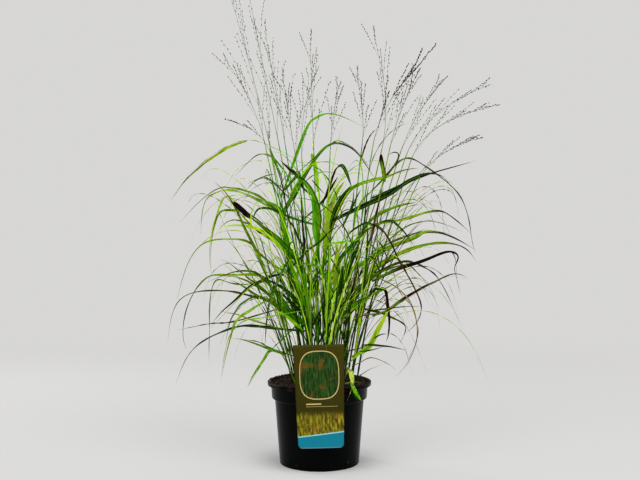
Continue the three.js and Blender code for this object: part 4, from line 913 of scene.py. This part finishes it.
leading = [(row[2:7], deepened(row[7:].reshape(-1, 2), *row[:2])) for row in table(LEADING)]
fallen = [(row[:5], row[5:].reshape(-1, 3)) for row in table(FALLEN)]
groups = ("leading_blades", leading, (0.12, -1.0, 0.15)), ("fallen_blades", fallen, (0.45, -0.8, 0.35))
for name, group, face in groups:
    lines = np.array([smooth(spots / 1000, BLADE_LEVELS) for kind, spots in group])
    across = np.cross(np.gradient(lines, axis=1), face)[:, ::7]
    kinds = np.array([kind for kind, spots in group])
    widths, tones, tapers = kinds[:, 0] / 1000, kinds[:, 1:4], kinds[:, 4:]
    seeds = columns(0.5, chance.uniform(0.1, 0.5, len(group)), chance.random(len(group)), 0)
    points, faces, blade, tone = blades(lines, across, widths, seeds, tones, taper=tapers)
    made(name, points, faces, leaf, marks={"blade": blade, "tone": tone})

# ------------------------------------------------------------------ the flower heads
# An open panicle tops each flowering stem: hair-fine branches rise close along the axis, and each
# bears small pointed spikelets on short stalks, dark purple as they open.

TWIGS, TWIG_LEVELS, TWIG_SIDES, AXIS_LEVELS = 4, 16, 4, 40
TWIG_RINGS, KNEE_AT = 5, 0.58  # rings of a built branch, and how far along it its second ring is
AXIS_RADIUS, TWIG_RADIUS, TIP_RADIUS, STALK_RADIUS = 0.00044, 0.00017, 0.00009, 0.00007
AXIS_BEND, TWIG_SHARE, LONGEST_TWIG = 0.45, (0.62, 0.24), 0.15
TWIG_PLACES, TWIG_SPREAD, TWIG_ONWARD, TWIG_BOW = (0.06, 0.9), (0.05, 0.2), 0.93, 0.4
SPIKELET, SPIKELET_WIDE, SPIKELETS = (0.0028, 0.0042), 0.00068, 9
SPIKELET_SHAPE = np.array([(0, 0.12), (0.2, 0.8), (0.45, 1.0), (0.75, 0.62), (1, 0.06)])
GOLDEN_ANGLE = np.pi * (3 - 5**0.5)
DENSE, DENSE_SIZE, DENSE_WIDE = "panicle_12", 1.2, 1.3
STALK_LONG, STALK_STRAY, EAR_CLEAR = 0.003, (0.0004, 0.0018), 0.004
# the tip of each head, in millimetres
TIPS = """
-183 110 757; -166 4 863; -170 150 644; -130 -20 861; -60 -160 668; -104 70 804; 314 104 606;
298 -64 641; 323 30 699; 238 90 714; 168 -104 693; 192 -20 737; 104 60 794; 66 -86 690;
-12 172 741; 39 138 717; -17 0 767;
"""


def rods(lines, radii, sides):
    """Thin round rods along lines, each level as thick as its radius says."""
    along = unit(np.gradient(lines, axis=1))
    across = unit(np.cross(along, [0.31, 0.23, 0.92]))
    return carried(lines, across, np.cross(along, across), radii[..., None, None] * circle(sides))


ear, start, place = new_finish("flower_head")
purple, seed, share = start.mark("ear")
speckle = place.noise(700, 3)
straw = seed.mix(rgb(0.17, 0.24, 0.05), rgb(0.18, 0.16, 0.10))
dusk = seed.mix(rgb(0.009, 0.0035, 0.006), rgb(0.035, 0.014, 0.021))
tint = (purple * (0.75 + 0.5 * speckle)).step(0.2, 0.9).mix(straw, dusk)
surface(start, tint, 0.6 + 0.2 * speckle, speckle, 0.0002, Specular_IOR_Level=0.3)

lowest, highest = np.array([-0.299, -0.228, 0.45]), np.array([0.322, 0.26, 0.862])
for node, tip in zip(PANICLES, np.array(table(TIPS)) / 1000):
    dense = node == DENSE
    line, neck = stems[node.replace("panicle", "culm")]
    foot = stem_at(line, neck)
    onward = unit(stem_at(line, neck + 0.001) - foot)
    reach = np.linalg.norm(tip - foot)
    middle = foot + onward * AXIS_BEND * reach
    t = np.linspace(0, 1, AXIS_LEVELS)
    axis_line = bowed(foot, middle, tip, t)
    axis_radii = AXIS_RADIUS * (NECK_RADIUS / AXIS_RADIUS) ** np.clip(1 - t * 6, 0, 1) * (1 - 0.6 * t)

    strands = [strand for strand in strands_in(*corners_of(node)) if len(strand[1]) == TWIG_RINGS]
    begins = np.array([seam for end, rings, seam in strands])
    ends = np.array([end for end, rings, seam in strands])
    knees = np.array([rings[1].mean(axis=0) for end, rings, seam in strands])
    knees = knees - (1 - KNEE_AT) ** 2 * begins - KNEE_AT**2 * ends
    knees /= 2 * KNEE_AT * (1 - KNEE_AT)

    count = TWIGS + dense
    places = np.linspace(*TWIG_PLACES, count) + chance.uniform(-0.03, 0.03, count)
    more = bowed(foot, middle, tip, places)
    heading = unit(2 * (1 - places)[:, None] * (middle - foot) + 2 * places[:, None] * (tip - middle))
    length = reach * (TWIG_SHARE[0] + (TWIG_SHARE[1] - TWIG_SHARE[0]) * places)
    length = np.minimum(length * chance.uniform(0.6, 1.05, count), LONGEST_TWIG)[:, None]
    turn = np.arange(count) * GOLDEN_ANGLE + chance.uniform(-0.6, 0.6, count)
    out = outward(turn) * chance.uniform(*TWIG_SPREAD, (count, 1)) * length
    far = more + heading * TWIG_ONWARD * length + out
    room = room_for(more, far, lowest, highest, 0.2)
    begins = np.vstack([begins, more])
    knees = np.vstack([knees, more + (heading * length / 2 + out * TWIG_BOW) * room])
    ends = np.vstack([ends, more + (far - more) * room])

    t = np.linspace(0, 1, TWIG_LEVELS)[None]
    curves = begins[:, None], knees[:, None], ends[:, None]
    twigs = bowed(*curves, t)
    twig_radii = TWIG_RADIUS + (TIP_RADIUS - TWIG_RADIUS) * np.broadcast_to(t, twigs.shape[:2])

    number = SPIKELETS + 3 * dense
    spread = np.linspace(0, 1, number) ** 0.75 * 0.7 + 0.285
    spread = spread + chance.uniform(-0.015, 0.015, (len(begins), number))
    seats = bowed(*curves, spread)
    heading = unit(bowed(*curves, spread + 0.02) - seats)
    stray = unit(chance.normal(size=seats.shape))
    stray = stray * chance.uniform(*STALK_STRAY, (len(begins), number, 1))
    stalk_end = seats + heading * STALK_LONG + stray
    axis_seats = bowed(foot, middle, tip, np.linspace(0.55, 0.99, number * (1 + 2 * dense)))
    seats, stalk_end = seats.reshape(-1, 3), stalk_end.reshape(-1, 3)
    heading = unit(heading.reshape(-1, 3) + 0.12 * unit(chance.normal(size=seats.shape)))
    on_axis = unit(np.gradient(axis_seats, axis=0))
    seats = np.vstack([seats, axis_seats])
    axis_ends = axis_seats + on_axis * STALK_LONG + chance.normal(0, 0.001, axis_seats.shape)
    stalk_end = np.vstack([stalk_end, axis_ends])
    heading = np.vstack([heading, on_axis])
    kept = (stalk_end[:, ::2] + EAR_CLEAR < highest[::2]).all(axis=1)
    seats, stalk_end, heading = seats[kept], stalk_end[kept], heading[kept]
    stalks = seats[:, None] + (stalk_end - seats)[:, None] * np.array([0, 0.5, 1])[:, None]
    size = chance.uniform(*SPIKELET, len(seats)) * (DENSE_SIZE if dense else 1)
    grains = stalk_end[:, None] + (heading * size[:, None])[:, None] * SPIKELET_SHAPE[:, :1]
    girth = SPIKELET_WIDE * (DENSE_WIDE if dense else 1) * SPIKELET_SHAPE[:, 1]
    grain_radii = girth * chance.uniform(0.8, 1.25, (len(seats), 1))

    shapes = [rods(axis_line[None], axis_radii[None], 6), rods(twigs, twig_radii, TWIG_SIDES)]
    shapes += [rods(stalks, np.full(stalks.shape[:2], STALK_RADIUS), 3), rods(grains, grain_radii, 4)]
    points, faces = joined(shapes)
    stalked, plain, whole = len(shapes[0][0]), len(points) - len(shapes[3][0]), len(points)
    purple = np.repeat([0.1, 0.35, 1], [stalked, plain - stalked, whole - plain])
    shades = np.repeat(chance.random(len(seats)), (whole - plain) // len(seats))
    seed = np.concatenate([np.full(plain, 0.4), shades])
    marks = {"ear": columns(purple, seed, 0)}
    made(node.replace("panicle", "flower_head"), points, faces, ear, [node], marks)

# ------------------------------------------------------------------ the studio
# A white floor that gives the same light grey as the air round it, except in the faint shadow close to
# the pot, large soft lights in front and above, and two strips behind that trace the sides of the pot.

FLOOR_REACH, FLOOR_SIDES = 9.0, 96
AIR, AIR_GLOW, TONE_CURVE = (0.73, 0.725, 0.715), 0.36, 0.82
LENS, SENSOR, EYE = 48.96, 36, (0.0011, -1.6, 0.407)
# the soft lights: the name, place, aim, width, height and power of each
LIGHTS = [
    ("left_key", (-1.5, -2.0, 2.4), (0, 0, 0.3), 2.0, 2.0, 56),
    ("right_key", (1.6, -1.8, 2.4), (0, 0, 0.3), 2.0, 2.0, 68),
    ("overhead", (0, 0.3, 2.6), (0, 0, 0), 2.4, 2.4, 24),
    ("left_strip", (-1.35, 1.05, 0.9), (0, 0, 0.3), 0.3, 0.9, 12),
    ("right_strip", (1.35, 1.0, 0.9), (0, 0, 0.3), 0.3, 0.9, 3),
]

edge = outward(np.linspace(0, 2 * np.pi, FLOOR_SIDES, endpoint=False)) * FLOOR_REACH
mesh = bpy.data.meshes.new("floor")
mesh.from_pydata(edge.tolist(), [], [range(FLOOR_SIDES)])
floor = bpy.data.objects.new("floor", mesh)
bpy.context.scene.collection.objects.link(floor)
studio, start, place = new_finish("studio_floor")
x, y, z = place.axes()
away = (x**2 + y**2) ** 0.5
near = start.node("ShaderNodeBsdfDiffuse", None, {"Color": rgb(0.585, 0.585, 0.58), "Roughness": 0.4})
far = start.node("ShaderNodeEmission", None, {"Color": (*AIR, 1), "Strength": 1.0})
shadeless = 0.65 * away.step(0.06, 0.17) + 0.35 * away.step(0.5, 2.2)
shown = start.node("ShaderNodeMixShader", None, {0: shadeless, 1: near, 2: far})
start.node("ShaderNodeOutputMaterial", None, {"Surface": shown})
mesh.materials.append(studio)

scene = bpy.context.scene
scene.view_settings.view_transform = "Standard"
scene.view_settings.gamma = TONE_CURVE
air = bpy.data.worlds.new("air")
air.use_nodes = True
air.node_tree.nodes["Background"].inputs["Color"].default_value = (*AIR, 1)
seen = air.node_tree.nodes.new("ShaderNodeLightPath").outputs["Is Camera Ray"]
seen = Wire(air.node_tree, seen) * (1 - AIR_GLOW) + AIR_GLOW
air.node_tree.links.new(seen.socket, air.node_tree.nodes["Background"].inputs["Strength"])
scene.world = air

for name, spot, aim, width, height, power in LIGHTS:
    lamp = bpy.data.lights.new(name, "AREA")
    lamp.shape, lamp.size, lamp.size_y, lamp.energy = "RECTANGLE", width, height, power
    item = bpy.data.objects.new(name, lamp)
    item.location = spot
    item.rotation_euler = (Vector(aim) - Vector(spot)).to_track_quat("-Z", "Y").to_euler()
    item.visible_camera = False
    scene.collection.objects.link(item)

camera = bpy.data.cameras.new("camera")
camera.lens, camera.sensor_width = LENS, SENSOR
viewer = bpy.data.objects.new("camera", camera)
viewer.location, viewer.rotation_euler = EYE, (np.pi / 2, 0, 0)
scene.collection.objects.link(viewer)
scene.camera = viewer
